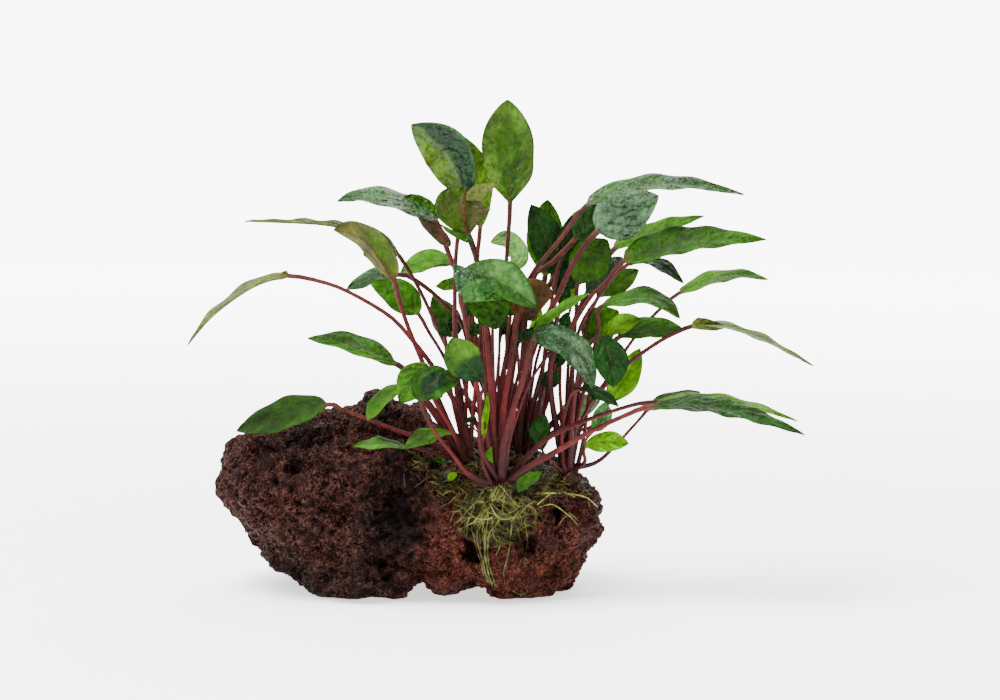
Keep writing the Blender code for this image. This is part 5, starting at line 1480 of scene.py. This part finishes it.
def make_camera():
    """The camera that took the photo."""
    camera = bpy.data.cameras.new("photo_view")
    camera.lens = CAMERA_LENS
    camera.sensor_width = CAMERA_SENSOR
    holder = add_object("photo_view", camera)
    target = Vector(((VIEW_CENTRE_ACROSS - ORIGIN_ACROSS) * MM, 0, VIEW_CENTRE_Z * MM))
    back = Vector((0, -math.cos(VIEW_TILT), math.sin(VIEW_TILT)))
    holder.location = target + back * VIEW_DISTANCE * MM
    holder.rotation_euler = (-back).to_track_quat("-Z", "Y").to_euler()
    bpy.context.scene.camera = holder


def make_world():
    """A studio lit from above and a little from behind, with dim walls."""
    world = bpy.data.worlds.new("studio")
    world.use_nodes = True
    tree = world.node_tree
    direction = tree.nodes.new("ShaderNodeTexCoord").outputs["Generated"]
    toward = tree.nodes.new("ShaderNodeVectorMath")
    toward.operation = "DOT_PRODUCT"
    tree.links.new(direction, toward.inputs[0])
    toward.inputs[1].default_value = SKY_TOWARD
    ramp = tree.nodes.new("ShaderNodeMapRange")
    ramp.interpolation_type = "SMOOTHSTEP"
    for name, value in (("From Min", -0.1), ("From Max", 0.9), ("To Min", SKY_LOW), ("To Max", SKY_HIGH)):
        ramp.inputs[name].default_value = value
    tree.links.new(toward.outputs["Value"], ramp.inputs["Value"])
    tree.links.new(ramp.outputs[0], tree.nodes["Background"].inputs["Strength"])
    tree.nodes["Background"].inputs["Color"].default_value = (1, 1, 1, 1)
    bpy.context.scene.world = world


def tree_of(objects):
    """A search tree over the scene's objects, whose meshes lie in world places."""
    places, faces = [], []
    for thing in objects:
        start = len(places)
        places += [vert.co.copy() for vert in thing.data.vertices]
        faces += [tuple(start + index for index in face.vertices) for face in thing.data.polygons]
    return BVHTree.FromPolygons(places, faces)


def main():
    make_camera()
    make_world()
    make_floor()
    make_light("key", (-0.45, -0.35, 1.3), 0.7, KEY_POWER)
    make_light("back", (0.35, 0.9, 0.9), 0.9, BACK_POWER)
    rock = make_rock(rock_material())
    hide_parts("lava_rock")
    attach(rock, "root")

    tissues = (leaf_material("leaf_tissue", 0.12, 1.0), leaf_material("leaf_tissue_glossy", 0.36, 1.2),
               leaf_material("leaf_tissue_blistered", 0.42, 1.9))
    feet = place_feet()
    shifts = settle_depths(feet)
    for number, (leaf, foot, shift) in enumerate(zip(LEAVES, feet, shifts), 1):
        look = LOOKS[number - 1]
        made = make_leaf(f"leaf_{number:02d}_fine", tissues, leaf, foot, shift, look, random.Random(number))
        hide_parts(f"leaf_{number:02d}")
        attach(made, "root")
    for number, (leaf, look) in enumerate(SMALL_LEAVES, 1):
        across, _, depth, half, _ = CROWNS[leaf.crown]
        toward = np.array([leaf.stalk[0][0] - across, leaf.depths[0] - depth])
        foot = np.array([across, depth]) + toward * min(1.0, 0.9 * half / np.linalg.norm(toward))
        shift = np.zeros(len(DEPTH_KNOTS))
        rng = random.Random(100 + number)
        made = make_leaf(f"small_leaf_{number}", tissues, leaf, foot, shift, look, rng)
        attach(made, "root")
    for name, look, depth, lean, outline in SCRAPS:
        made = make_cut_leaf(name, outline, depth, lean, tissues[look.tissue], look)
        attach(made, "root")

    bark = crown_material()
    crowns = []
    for name in CROWNS:
        crown = make_crown(name, bark)
        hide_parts(name)
        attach(crown, "root")
        crowns.append(crown)

    roots = root_material()
    ground = tree_of([rock] + crowns)
    tangle = make_tangle(ground, random.Random(5), roots)
    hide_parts("root_mat", "root_right")
    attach(tangle, "root")
    moss = make_moss(ground, random.Random(8), roots)
    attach(moss, "root")


main()
